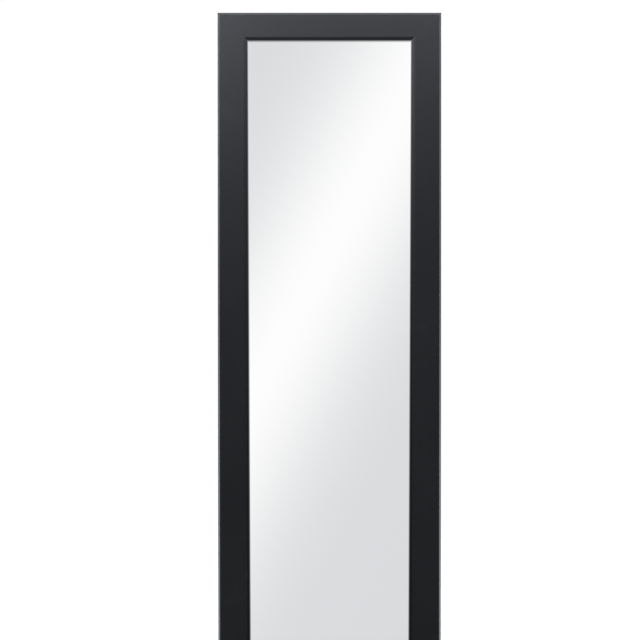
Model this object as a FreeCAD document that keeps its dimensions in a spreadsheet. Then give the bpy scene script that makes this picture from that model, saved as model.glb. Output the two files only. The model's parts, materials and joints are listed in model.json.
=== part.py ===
"""Pull-out wardrobe mirror: a framed mirror leaf that slides out of the wardrobe and turns.

X runs along the slide, and the mirror pulls out towards +X. The cabinet side is the plane
Y = 0 and everything stands in front of it, towards -Y. Z is up. The origin is the middle of
the four wall screws, on the back of the wall plate. Distances off the cabinet side are
called u, so u = -Y. All sizes are millimetres and live in the sheet Dims.
"""

import FreeCAD, Part
import math
import os
import re
import Sketcher

V = FreeCAD.Vector
UPSIDE_DOWN = FreeCAD.Rotation(V(1, 0, 0), 180)
FACE_ABOUT = FreeCAD.Rotation(V(0, 0, 1), 180)

DIMENSIONS = {
    # Mirror leaf, outside
    "mirror_width": 340,
    "mirror_height": 1000,
    # How far a cutting tool runs past the faces that it cuts
    "cut_over": 1,
    # Frame section: a closed chamber along the outer edge and a lip over the glass
    "frame_depth": 20,
    "stile_face": 45,
    "rail_face": 41.5,
    "chamber_share": 0.6,
    "bevel_share": 0.1,
    "front_wall": 2.2,
    "frame_wall": 1.6,
    "lip_edge": 0.6,
    "arris_round": 2.4,
    "hook_size": 1.2,
    "hook_inset": 2.3,
    "mitre_over": 0.1,
    # What the frame holds, counted from the lip backwards
    "tape_thick": 0.8,
    "tape_share_low": 0.68,
    "tape_share_high": 0.9,
    "glass_gap": 1,
    "glass_thick": 4,
    "film_thick": 0.2,
    "board_thick": 3,
    "bead_share": 0.8,
    "bead_gap": 0.1,
    "bead_foot": 1.2,
    "bead_slope": 2.5,
    "bead_inset": 1.8,
    # Corner keys and their screws
    "key_gap": 0.3,
    "key_arm": 60,
    "key_lead": 1.5,
    "key_screw_in": 42,
    "key_bore": 1.6,
    "key_screw_shank": 1.5,
    "key_screw_head": 3,
    "key_screw_head_thick": 1.6,
    "key_screw_length": 9,
    # Swivel axis
    "hinge_x": 160,
    "hinge_u": 27,
    "back_gap": 6,
    "pin_r": 3,
    "pin_play": 0.05,
    "knuckle_r": 5.5,
    "knuckle_low": 70,
    "knuckle_high": 100,
    # Leaf of the hinge, on the frame
    "leaf_thick": 3,
    "leaf_left": 128,
    "leaf_right": 169.5,
    "leaf_half": 150,
    "leaf_round": 6,
    "notch_x": 149,
    "notch_top": 113,
    "barrel_half": 68.8,
    "barrel_bore": 3.4,
    "bush_r": 4.5,
    "bush_length": 12,
    "bush_flange": 1,
    "leaf_screw_inner_x": 148.5,
    "leaf_screw_inner_z": 30,
    "leaf_screw_outer_x": 156,
    "leaf_screw_outer_z": 132,
    "leaf_screw_shank": 2,
    "leaf_screw_head": 4,
    "leaf_screw_length": 7.4,
    "screw_play": 0.1,
    "strip_thick": 3,
    "strip_left": 145,
    "strip_right": 167,
    # Pan head's flat top as a share of the head
    "pan_crown": 0.75,
    # Bolt, springs and nut of the swivel
    "hex_flat": 10,
    "hex_thick": 4,
    "pin_top": 110,
    "pin_point": 0.8,
    "spring_r": 5.4,
    "spring_thick": 0.5,
    "spring_rise": 0.4,
    "collar_r": 4.3,
    "collar_thick": 1.2,
    # Swivel bracket
    "bracket_thick": 2.5,
    "arm_rear": 10,
    "arm_half": 14,
    "head_left": 118,
    "head_front": 142,
    "joggle_x": 142.7,
    "knuckle_root": 2,
    "flange_rise": 8,
    "flange_inset": 8,
    "bracket_round": 8,
    "bracket_hole_rear": 26,
    "bracket_hole_front": 104,
    "bracket_hole_z": 6,
    "bracket_screw_shank": 1.95,
    "bracket_screw_head": 3.8,
    "bracket_screw_head_thick": 2.2,
    "clinch_r": 4,
    "clinch_bore": 2,
    "clinch_thick": 3,
    "window_low": 30,
    "window_high": 60,
    "window_half": 5,
    # Telescopic slide: three rolled members and two ball cages
    "slide_steel": 1.2,
    "slide_bend": 1.2,
    "slide_front": 148,
    "slide_rear": 146,
    "cabinet_rear": 152,
    "ball_r": 2,
    "ball_play": 0.1,
    "outer_race_u": 7.1,
    "outer_race_z": 18.7,
    "race_lean": 40,
    "race_wrap": 30,
    "inner_wrap": 215,
    "inner_web_u": 14.6,
    "lug_length": 4,
    "lug_half": 8,
    "lug_rise": 1.2,
    "tab_half": 6,
    "tab_reach": 7,
    "tab_inset": 4,
    "member_hole": 4,
    "member_hole_x": 90,
    # Ball cages
    "cage_front": 68.8,
    "cage_rear": 66.8,
    "cage_web": 0.7,
    "outer_cage_lift": 0.5,
    "inner_cage_lift": 0.4,
    "ledge_thick": 0.6,
    "outer_ledge_z": 18.6,
    "outer_ledge_reach": 5.5,
    "inner_ledge_z": 14.6,
    "inner_ledge_reach": 7,
    "cage_hole": 2.1,
    "cage_end": 9,
    "cage_window_low": 12,
    "cage_window_high": 52,
    "cage_window_half": 7,
    # Wall plate
    "plate_thick": 2.5,
    "plate_rear": 157,
    "plate_half": 50,
    "plate_round": 8,
    "wall_screw_x": 130,
    "wall_screw_z": 38,
    "wall_screw_hole": 2.25,
    "rivet_r": 2.4,
    "rivet_outer_x": 120,
    "rivet_inner_x": 40,
    "rest_rear": 162.5,
    "rest_half": 20,
    "rest_flange": 12.5,
    "rest_bend": 0.8,
    "rest_pad_thick": 3.2,
    "rest_pad_inset": 1,
    "rest_pad_round": 1.2,
    "rest_clear": 0.3,
    "rest_root": 2,
    # Rear bumper
    "bumper_front": 146.5,
    "bumper_half": 15,
    "bumper_reach": 9,
    "bumper_nose": 3,
}

# Pieces per row of balls on each side of a cage.
BALLS_PER_ROW = 3

doc = FreeCAD.newDocument("PullOutMirror")
sheet = doc.addObject("Spreadsheet::Sheet", "Dims")
for row, (name, size) in enumerate(DIMENSIONS.items(), start=1):
    sheet.set(f"A{row}", name)
    sheet.set(f"B{row}", str(size))
    sheet.setAlias(f"B{row}", name)
doc.recompute()

sub_parts = []


# ---------------------------------------------------------------- formulas

def cells(formula):
    """The formula as an expression on the sheet: plain names become cells of Dims."""
    return re.sub(r"[a-z][a-z_0-9]*\b(?!\()", r"Dims.\g<0>", formula)


def value(formula):
    """The number that the formula gives with the sheet as it stands."""
    return float(sheet.evalExpression(cells(formula)))


def bind(item, formulas):
    """Tie properties of an object to formulas."""
    for name, formula in formulas.items():
        item.setExpression(name, cells(formula))


def on_circle(centre, radius, angle):
    """Formulas of the point on a circle at an angle in degrees."""
    return f"{centre[0]} + {radius} * cos({angle})", f"{centre[1]} + {radius} * sin({angle})"


# Planes that several sub-parts share, as distances u off the cabinet side.
FRAME_BACK = "(hinge_u + back_gap)"
FRAME_FRONT = "(hinge_u + back_gap + frame_depth)"
LEAF_BACK = "(hinge_u + back_gap - leaf_thick)"
CARRIAGE_FACE = "(inner_web_u + slide_steel / 2)"
CARRIAGE_BACK = "(inner_web_u - slide_steel / 2)"
CABINET_FACE = "(plate_thick + slide_steel)"
MIDDLE_WEB = "(outer_race_u - slide_bend)"
MIDDLE_FACE = "(outer_race_u - slide_bend + slide_steel / 2)"
MIDDLE_BACK = "(outer_race_u - slide_bend - slide_steel / 2)"
SWIVEL = ("hinge_x", "-hinge_u")

# Depths behind the front of the frame.
GLASS_FRONT = "(front_wall + tape_thick)"
GLASS_BACK = "(front_wall + tape_thick + glass_thick)"
BOARD_FRONT = "(front_wall + tape_thick + glass_thick + film_thick)"
BOARD_BACK = "(front_wall + tape_thick + glass_thick + film_thick + board_thick)"
HOOK_BACK = "(frame_depth - hook_inset)"
HOOK_FRONT = "(frame_depth - hook_inset - hook_size)"

# Radius of a race's centreline, and the centres of the two rows of balls as (u, z).
RACE = "(ball_r + ball_play + slide_steel / 2)"
OUTER_RACE = ("outer_race_u", "outer_race_z")
INNER_RACE = (f"(outer_race_u + 2 * {RACE} * cos(race_lean))",
              f"(outer_race_z - 2 * {RACE} * sin(race_lean))")


# ---------------------------------------------------------------- sketches

def hold(sketch, geometry, point, place):
    """Hold one point of the sketch at a place given by two formulas."""
    for kind, formula in zip(("DistanceX", "DistanceY"), place):
        number = sketch.addConstraint(
            Sketcher.Constraint(kind, -1, 1, geometry, point, value(formula)))
        sketch.setExpression(f"Constraints[{number}]", cells(formula))


def hold_radius(sketch, geometry, formula):
    number = sketch.addConstraint(Sketcher.Constraint("Radius", geometry, value(formula)))
    sketch.setExpression(f"Constraints[{number}]", cells(formula))


def line_to(corner):
    return corner, None, None


def arc_to(corner, radius, turn):
    return corner, radius, turn


def arc_between(first, last, radius, turn):
    """The arc of at most half a turn that bends to the given side."""
    run = last - first
    left = V(-run.y, run.x, 0).normalize()
    reach = math.sqrt(max(0, radius ** 2 - run.Length ** 2 / 4))
    centre = (first + last) / 2 + left * (reach if turn == "left" else -reach)
    ends = (first, last) if turn == "left" else (last, first)
    angles = [math.atan2(end.y - centre.y, end.x - centre.x) for end in ends]
    return Part.ArcOfCircle(Part.Circle(centre, V(0, 0, 1), radius), *angles)


def trace(sketch, start, steps, closed=True):
    """A chain of lines and arcs through corners that are all held by formulas."""
    chain = []
    before = start
    for corner, radius, turn in steps:
        first, last = (V(value(place[0]), value(place[1]), 0) for place in (before, corner))
        ends = (2, 1) if turn == "right" else (1, 2)
        if radius is None:
            geometry = sketch.addGeometry(Part.LineSegment(first, last))
        else:
            geometry = sketch.addGeometry(arc_between(first, last, value(radius), turn))
            hold_radius(sketch, geometry, radius)
        hold(sketch, geometry, ends[0], before)
        chain.append((geometry, *ends))
        before = corner
    followers = chain[1:] + chain[:1] if closed else chain[1:]
    for (here, _, end), (there, begin, _) in zip(chain, followers):
        sketch.addConstraint(Sketcher.Constraint("Coincident", here, end, there, begin))
    if not closed:
        hold(sketch, chain[-1][0], chain[-1][2], before)


def polygon(sketch, corners):
    trace(sketch, corners[0], [line_to(corner) for corner in corners[1:] + corners[:1]])


def rectangle(sketch, left, right, low, high):
    polygon(sketch, [(left, low), (right, low), (right, high), (left, high)])


def circle(sketch, centre, radius):
    place = V(value(centre[0]), value(centre[1]), 0)
    geometry = sketch.addGeometry(Part.Circle(place, V(0, 0, 1), value(radius)))
    hold(sketch, geometry, 3, centre)
    hold_radius(sketch, geometry, radius)


def slot(sketch, x, low, high, half):
    """An upright slot with round ends, 2 * half wide."""
    left, right = f"{x} - {half}", f"{x} + {half}"
    trace(sketch, (right, f"{low} + {half}"), [
        line_to((right, f"{high} - {half}")),
        arc_to((x, high), half, "left"),
        arc_to((left, f"{high} - {half}"), half, "left"),
        line_to((left, f"{low} + {half}")),
        arc_to((x, low), half, "left"),
        arc_to((right, f"{low} + {half}"), half, "left"),
    ])


# ---------------------------------------------------------------- PartDesign helpers

def new_body(label):
    body = doc.addObject("PartDesign::Body", label)
    body.Label = label
    return body


def sketch_on(body, role, offset="0"):
    """A sketch on one of the body's own planes, moved along that plane's normal.

    XZ_Plane reads (x, z) with u as its normal, XY_Plane (x, -u), YZ_Plane (-u, z).
    """
    plane = next(item for item in body.Origin.OriginFeatures if item.Role == role)
    sketch = body.newObject("Sketcher::SketchObject", f"{body.Name}_sketch")
    sketch.AttachmentSupport = [(plane, "")]
    sketch.MapMode = "FlatFace"
    bind(sketch, {"AttachmentOffset.Base.z": offset})
    return sketch


def pad(body, sketch, length, both_ways=False):
    feature = body.newObject("PartDesign::Pad", f"{body.Name}_pad")
    feature.Profile = sketch
    feature.SideType = "Symmetric" if both_ways else "One side"
    bind(feature, {"Length": length})
    doc.recompute()
    return feature


def pocket(body, sketch, length):
    """Cut against the sketch plane's normal, and make sure that something was cut."""
    doc.recompute()
    before = body.Shape.Volume
    feature = body.newObject("PartDesign::Pocket", f"{body.Name}_pocket")
    feature.Profile = sketch
    bind(feature, {"Length": length})
    doc.recompute()
    if body.Shape.Volume >= before:
        raise RuntimeError(f"{body.Label}: {feature.Name} cuts nothing")
    return feature


def edges_where(feature, chosen):
    """Names of the feature's edges that pass the test."""
    return [f"Edge{number}" for number, edge in enumerate(feature.Shape.Edges, start=1)
            if chosen(edge)]


def dress(body, kind, base, chosen, size):
    """A Fillet or Chamfer on the chosen edges of a feature."""
    feature = body.newObject(f"PartDesign::{kind}", f"{body.Name}_{kind.lower()}")
    feature.Base = (base, edges_where(base, chosen))
    bind(feature, {"Radius" if kind == "Fillet" else "Size": size})
    doc.recompute()
    return feature


def turned(body, profile, plane="XZ_Plane"):
    """A revolved solid: the profile is (radius, height) corners, turned about the height."""
    sketch = sketch_on(body, plane)
    polygon(sketch, profile)
    feature = body.newObject("PartDesign::Revolution", f"{body.Name}_turn")
    feature.Profile = sketch
    feature.ReferenceAxis = (sketch, ["V_Axis"])
    feature.Angle = 360
    doc.recompute()
    return feature


def hexagon(sketch, centre, flat):
    polygon(sketch, [on_circle(centre, f"{flat} / 2 / cos(30)", 60 * k) for k in range(6)])


def is_circle(edge, radius):
    return isinstance(edge.Curve, Part.Circle) and abs(edge.Curve.Radius - radius) < 1e-4


def lies_at(edge, axis, place):
    """Whether the whole edge lies in the plane at this place along one axis."""
    return all(abs(getattr(end.Point, axis) - place) < 1e-4 for end in edge.Vertexes)


def runs_along(edge, axis):
    """Whether the edge is straight and parallel to the axis."""
    first, last = edge.Vertexes[0].Point, edge.Vertexes[-1].Point
    return edge.Length > 1e-4 and abs(abs(getattr(last - first, axis)) - edge.Length) < 1e-4


def keep(item):
    """Note an object as a sub-part of its own."""
    sub_parts.append(item)


# ---------------------------------------------------------------- Part helpers

def box(name, low, high):
    """A box between two corners given as formulas for (x, u, z)."""
    item = doc.addObject("Part::Box", name)
    bind(item, {
        "Length": f"{high[0]} - ({low[0]})",
        "Width": f"{high[1]} - ({low[1]})",
        "Height": f"{high[2]} - ({low[2]})",
        "Placement.Base.x": low[0],
        "Placement.Base.y": f"-({high[1]})",
        "Placement.Base.z": low[2],
    })
    return item


def rod(name, radius, x, z, low, high):
    """A cylinder that stands off the cabinet side, from u = low to u = high."""
    item = doc.addObject("Part::Cylinder", name)
    item.Placement = FreeCAD.Placement(V(), FreeCAD.Rotation(V(1, 0, 0), 90))
    bind(item, {
        "Radius": radius,
        "Height": f"{high} - ({low})",
        "Placement.Base.x": x,
        "Placement.Base.y": f"-({low})",
        "Placement.Base.z": z,
    })
    return item


def joined(name, items):
    item = doc.addObject("Part::MultiFuse", name)
    item.Shapes = items
    return item


def cut(name, base, tools):
    item = doc.addObject("Part::Cut", name)
    item.Base = base
    item.Tool = tools[0] if len(tools) == 1 else joined(f"{name}_tools", tools)
    doc.recompute()
    if item.Shape.Volume >= base.Shape.Volume:
        raise RuntimeError(f"{name}: its tools cut nothing")
    return item


def group(label, form, places, turns=(FreeCAD.Rotation(),)):
    """Equal pieces as one sub-part: links to one form, each at (x, u, z)."""
    links = []
    for number, (x, u, z) in enumerate(places):
        link = doc.addObject("App::Link", f"{label}_{number + 1}")
        link.LinkedObject = form
        link.Placement = FreeCAD.Placement(V(), turns[number % len(turns)])
        bind(link, {"Placement.Base.x": x, "Placement.Base.y": f"-({u})",
                    "Placement.Base.z": z})
        links.append(link)
    bundle(label, links)


def bundle(label, items):
    """Separate solids that make one sub-part."""
    compound = doc.addObject("Part::Compound", label)
    compound.Links = items
    keep(compound)


def four_way(x, u, z):
    """The four places that mirror one another about the slide's middle."""
    return [(f"{side} * {x}", u, f"{level} * {z}") for side in (-1, 1) for level in (-1, 1)]


# ---------------------------------------------------------------- fasteners

def countersunk_screw(label, head, shank, length):
    """The head's flat face is at the origin and the shank points along u."""
    body = new_body(label)
    turned(body, [
        ("0", "0"), (head, "0"), (shank, f"{shank} - {head}"), (shank, f"-{length}"),
        ("0", f"-{length}"),
    ], plane="XY_Plane")
    return body


def pan_screw(label, head, head_thick, shank, length):
    """The head's underside is at the origin and the shank points along u."""
    body = new_body(label)
    turned(body, [
        ("0", head_thick), (f"{head} * pan_crown", head_thick), (head, "0"), (shank, "0"),
        (shank, f"-({length})"), ("0", f"-({length})"),
    ], plane="XY_Plane")
    return body


# ---------------------------------------------------------------- telescopic slide

def rolled_member(name, upper_half, rear):
    """A rolled steel member: its centreline, thickened both ways and run to the slide's front.

    The upper half of the centreline starts on the web and ends at the lip, in (u, z). The
    lower half is its mirror image.
    """
    corners = [step[0] for step in upper_half]
    below = [(u, f"-({z})") for u, z in corners]
    lower_half = [(below[k], *upper_half[k + 1][1:]) for k in range(len(corners) - 2, -1, -1)]
    path = doc.addObject("Sketcher::SketchObject", f"{name}_path")
    trace(path, below[-1], lower_half + upper_half, closed=False)
    path.Placement = FreeCAD.Placement(
        V(), FreeCAD.Rotation(V(0, -1, 0), V(0, 0, 1), V(-1, 0, 0), "XYZ"))
    section = doc.addObject("Part::Offset2D", f"{name}_section")
    section.Source = path
    section.Mode = "Pipe"
    section.Join = "Arc"
    section.Fill = False
    bind(section, {"Value": "slide_steel / 2"})
    run = doc.addObject("Part::Extrusion", f"{name}_run")
    run.Base = section
    run.DirMode = "Custom"
    run.Dir = V(1, 0, 0)
    run.Solid = True
    bind(run, {"LengthFwd": f"slide_front + {rear}", "Placement.Base.x": f"-{rear}"})
    doc.recompute()
    return run


def cabinet_member():
    """Fixed to the wall plate: the outer race, with a stop lug at the front."""
    web = "(plate_thick + slide_steel / 2)"
    top = f"(outer_race_z + {RACE})"
    run = rolled_member("cabinet_run", [
        line_to((web, f"{top} - slide_bend")),
        arc_to((f"{web} + slide_bend", top), "slide_bend", "right"),
        line_to(("outer_race_u", top)),
        arc_to(on_circle(OUTER_RACE, RACE, "race_wrap"), RACE, "right"),
    ], "cabinet_rear")
    lug = box("cabinet_lug", ("slide_front - lug_length", web, "-lug_half"),
              ("slide_front", f"{CABINET_FACE} + lug_rise", "lug_half"))
    holes = [rod("rivet_hole", "rivet_r", f"{side} * {x}", "0", "0",
                 f"{CABINET_FACE} + cut_over")
             for x in ("rivet_inner_x", "rivet_outer_x") for side in (-1, 1)]
    keep(cut("cabinet_member", joined("cabinet_body", [run, lug]), holes))


def intermediate_member():
    """Runs on the outer balls and carries the inner ones; lugs stop both cages."""
    run = rolled_member("middle_run", [
        line_to((MIDDLE_WEB, f"outer_race_z - {RACE} - slide_bend")),
        arc_to(("outer_race_u", f"outer_race_z - {RACE}"), "slide_bend", "right"),
        arc_to(on_circle(OUTER_RACE, RACE, "-race_lean"), RACE, "left"),
        arc_to(on_circle(INNER_RACE, RACE, "race_wrap"), RACE, "right"),
    ], "slide_rear")
    rear_lug = box("middle_rear_lug", ("-slide_rear", f"{MIDDLE_BACK} - lug_rise", "-lug_half"),
                   ("lug_length - slide_rear", MIDDLE_WEB, "lug_half"))
    front_lug = box("middle_front_lug", ("slide_front - lug_length", MIDDLE_WEB, "-lug_half"),
                    ("slide_front", f"{MIDDLE_FACE} + lug_rise", "lug_half"))
    holes = [rod("access_hole", "member_hole", f"{side} * member_hole_x", "0",
                 f"{MIDDLE_BACK} - cut_over", f"{MIDDLE_FACE} + cut_over")
             for side in (-1, 1)]
    keep(cut("intermediate_member", joined("middle_body", [run, rear_lug, front_lug]), holes))


def inner_member():
    """Carries the bracket. A tab lanced from its web stops the inner cage."""
    low = f"({INNER_RACE[1]} - {RACE})"
    run = rolled_member("inner_run", [
        line_to(("inner_web_u", f"{low} - slide_bend")),
        arc_to(("inner_web_u - slide_bend", low), "slide_bend", "left"),
        line_to((INNER_RACE[0], low)),
        arc_to(on_circle(INNER_RACE, RACE, "inner_wrap"), RACE, "right"),
    ], "slide_rear")
    tab = box("inner_tab", ("tab_inset - slide_rear - slide_steel",
                            f"{CARRIAGE_BACK} - tab_reach", "-tab_half"),
              ("tab_inset - slide_rear", "inner_web_u", "tab_half"))
    window = box("lance_window",
                 ("tab_inset - slide_rear", f"{CARRIAGE_BACK} - cut_over", "-tab_half"),
                 ("tab_inset + tab_reach - slide_rear", f"{CARRIAGE_FACE} + cut_over",
                  "tab_half"))
    holes = [rod("bracket_hole", "clinch_bore", x, f"{level} * bracket_hole_z",
                 f"{CARRIAGE_BACK} - cut_over", f"{CARRIAGE_FACE} + cut_over")
             for x in ("bracket_hole_rear", "bracket_hole_front") for level in (-1, 1)]
    keep(cut("inner_member", joined("inner_body", [run, tab]), [window] + holes))


def ball_places(race):
    """Both rows of one cage, evenly spaced between the ends of the cage."""
    pitch = f"(cage_front + cage_rear - 2 * cage_end) / {BALLS_PER_ROW - 1}"
    return [(f"cage_end - cage_rear + {k} * {pitch}", race[0], f"{side} * {race[1]}")
            for side in (-1, 1) for k in range(BALLS_PER_ROW)]


def ball_cage(label, web, race, ledge_z, reach):
    """A strip folded into two ledges, with a row of holes along each that holds the balls."""
    body = new_body(label)
    section = sketch_on(body, "YZ_Plane", "-cage_rear")
    edge = f"({ledge_z} + ledge_thick)"
    near, inside, far = f"-({web})", f"-({web} + cage_web)", f"-({web} + {reach})"
    polygon(section, [
        (near, f"-{edge}"), (far, f"-{edge}"), (far, f"-{ledge_z}"), (inside, f"-{ledge_z}"),
        (inside, ledge_z), (far, ledge_z), (far, edge), (near, edge),
    ])
    pad(body, section, "cage_front + cage_rear")
    holes = sketch_on(body, "XY_Plane", f"{edge} + cut_over")
    for x, u, _ in ball_places(race)[:BALLS_PER_ROW]:
        circle(holes, (x, f"-{u}"), "cage_hole")
    pocket(body, holes, f"2 * ({edge} + cut_over)")
    windows = sketch_on(body, "XZ_Plane", f"{web} + cage_web + cut_over")
    for side in (-1, 1):
        first, last = sorted((f"{side} * cage_window_low", f"{side} * cage_window_high"),
                             key=value)
        rectangle(windows, first, last, "-cage_window_half", "cage_window_half")
    pocket(body, windows, "cage_web + 2 * cut_over")
    keep(body)


def ball_cages():
    ball = doc.addObject("Part::Sphere", "ball_form")
    bind(ball, {"Radius": "ball_r"})
    ball_cage("outer_ball_cage", f"({CABINET_FACE} + outer_cage_lift)", OUTER_RACE,
              "outer_ledge_z", "outer_ledge_reach")
    group("outer_balls", ball, ball_places(OUTER_RACE))
    ball_cage("inner_ball_cage", f"({MIDDLE_FACE} + inner_cage_lift)", INNER_RACE,
              "inner_ledge_z", "inner_ledge_reach")
    group("inner_balls", ball, ball_places(INNER_RACE))


# ---------------------------------------------------------------- wall side

def wall_plate():
    """Screwed to the cabinet side; its rear end is folded up to carry the rest pad."""
    body = new_body("wall_plate")
    outline = sketch_on(body, "XZ_Plane")
    rectangle(outline, "-plate_rear", "slide_front", "-plate_half", "plate_half")
    for x in ("rivet_inner_x", "rivet_outer_x"):
        for side in (-1, 1):
            circle(outline, (f"{side} * {x}", "0"), "rivet_r")
    for x, _, z in four_way("wall_screw_x", "0", "wall_screw_z"):
        circle(outline, (x, z), "wall_screw_hole")
    plate = pad(body, outline, "plate_thick")
    half = value("plate_half")
    dress(body, "Fillet", plate,
          lambda edge: runs_along(edge, "y") and
          (lies_at(edge, "z", half) or lies_at(edge, "z", -half)), "plate_round")
    fold = sketch_on(body, "XY_Plane")
    tip = f"-({FRAME_BACK} - rest_clear - rest_pad_thick)"
    polygon(fold, [
        ("-rest_rear", "0"), ("rest_root - plate_rear", "0"),
        ("rest_root - plate_rear", "-plate_thick"),
        ("plate_thick - rest_rear", "-plate_thick"),
        ("plate_thick - rest_rear", f"{tip} + plate_thick"),
        ("rest_flange - rest_rear", f"{tip} + plate_thick"),
        ("rest_flange - rest_rear", tip), ("-rest_rear", tip),
    ])
    rest = pad(body, fold, "2 * rest_half", both_ways=True)
    rear, inside = -value("rest_rear"), value("plate_thick - rest_rear")
    inner = dress(body, "Fillet", rest,
                  lambda edge: runs_along(edge, "z") and
                  abs(edge.Vertexes[0].X - inside) < 1e-4, "rest_bend")
    dress(body, "Fillet", inner,
          lambda edge: runs_along(edge, "z") and abs(edge.Vertexes[0].X - rear) < 1e-4,
          "rest_bend + plate_thick")
    keep(body)


def rest_pad():
    """Rubber pad on the folded end, just clear of the frame's back."""
    body = new_body("rest_pad")
    seat = f"({FRAME_BACK} - rest_clear - rest_pad_thick)"
    outline = sketch_on(body, "XZ_Plane", seat)
    rectangle(outline, "rest_pad_inset - rest_rear", "rest_flange - rest_rear",
              "rest_pad_inset - rest_half", "rest_half - rest_pad_inset")
    block = pad(body, outline, "rest_pad_thick")
    crown = -value(f"{FRAME_BACK} - rest_clear")
    dress(body, "Fillet", block, lambda edge: lies_at(edge, "y", crown), "rest_pad_round")
    keep(body)


def member_rivets():
    """Flush rivets through the wall plate and the cabinet member's web."""
    form = new_body("rivet_form")
    turned(form, [("0", "0"), ("rivet_r", "0"), ("rivet_r", f"-{CABINET_FACE}"),
                  ("0", f"-{CABINET_FACE}")], plane="XY_Plane")
    group("member_rivets", form, [(f"{side} * {x}", "0", "0")
                                  for x in ("rivet_outer_x", "rivet_inner_x")
                                  for side in (-1, 1)])


def rear_bumper():
    """Plastic block at the rear of the cabinet member that the other two close against."""
    body = new_body("rear_bumper")
    section = sketch_on(body, "XZ_Plane", CABINET_FACE)
    polygon(section, [
        ("-cabinet_rear", "-bumper_half"), ("bumper_nose - cabinet_rear", "-bumper_half"),
        ("-bumper_front", "bumper_nose - bumper_half"),
        ("-bumper_front", "bumper_half - bumper_nose"),
        ("bumper_nose - cabinet_rear", "bumper_half"), ("-cabinet_rear", "bumper_half"),
    ])
    pad(body, section, "bumper_reach")
    keep(body)


# ---------------------------------------------------------------- swivel

def bracket_knuckle(body, start):
    """One end of the bracket's head: joggled off the plate and rolled round the pin."""
    low_face, high_face = CARRIAGE_FACE, f"({CARRIAGE_FACE} + bracket_thick)"
    rise = f"(hinge_u - knuckle_r - {CARRIAGE_FACE})"
    lag = "bracket_thick * tan(22.5)"
    wrap_inside = "knuckle_r - bracket_thick"
    meet = f"hinge_x - sqrt(knuckle_r ^ 2 - ({wrap_inside}) ^ 2)"
    root = "head_front - knuckle_root"
    profile = sketch_on(body, "XY_Plane", start)
    trace(profile, (root, f"-{low_face}"), [
        line_to(("joggle_x", f"-{low_face}")),
        line_to((f"joggle_x + {rise}", "knuckle_r - hinge_u")),
        line_to(("hinge_x", "knuckle_r - hinge_u")),
        arc_to(("hinge_x + knuckle_r", "-hinge_u"), "knuckle_r", "right"),
        arc_to(("hinge_x", "-knuckle_r - hinge_u"), "knuckle_r", "right"),
        arc_to((meet, f"{wrap_inside} - hinge_u"), "knuckle_r", "right"),
        line_to((f"joggle_x + {rise} - {lag}", f"{wrap_inside} - hinge_u")),
        line_to((f"joggle_x - {lag}", f"-{high_face}")),
        line_to((root, f"-{high_face}")),
        line_to((root, f"-{low_face}")),
    ])
    circle(profile, SWIVEL, "pin_r + pin_play")
    pad(body, profile, "knuckle_high - knuckle_low")


def swivel_bracket():
    """A flanged arm on the inner member, with a tall head that ends in two knuckles."""
    body = new_body("swivel_bracket")
    outline = sketch_on(body, "XZ_Plane", CARRIAGE_FACE)
    polygon(outline, [
        ("arm_rear", "-arm_half"), ("head_left", "-arm_half"), ("head_left", "-knuckle_high"),
        ("head_front", "-knuckle_high"), ("head_front", "knuckle_high"),
        ("head_left", "knuckle_high"), ("head_left", "arm_half"), ("arm_rear", "arm_half"),
    ])
    for x in ("bracket_hole_rear", "bracket_hole_front"):
        for level in (-1, 1):
            circle(outline, (x, f"{level} * bracket_hole_z"), "bracket_screw_shank + screw_play")
    middle = "(head_left + head_front) / 2"
    slot(outline, middle, "window_low", "window_high", "window_half")
    slot(outline, middle, "-window_high", "-window_low", "window_half")
    plate = pad(body, outline, "bracket_thick")
    rounded = (value("arm_rear"), value("head_left"))
    dress(body, "Fillet", plate,
          lambda edge: runs_along(edge, "y") and any(lies_at(edge, "x", at) for at in rounded),
          "bracket_round")
    for low, high in (("-arm_half", "bracket_thick - arm_half"),
                      ("arm_half - bracket_thick", "arm_half")):
        flange = sketch_on(body, "XZ_Plane", CARRIAGE_FACE)
        rectangle(flange, "arm_rear + flange_inset", "head_left - flange_inset", low, high)
        pad(body, flange, "flange_rise")
    for start in ("-knuckle_high", "knuckle_low"):
        bracket_knuckle(body, start)
    keep(body)


def leaf_screw_places():
    """Heads lie in the leaf's wall side: two beside the barrel, two beyond the notches."""
    return [(f"leaf_screw_{part}_x", f"{level} * leaf_screw_{part}_z")
            for part in ("inner", "outer") for level in (-1, 1)]


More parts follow.
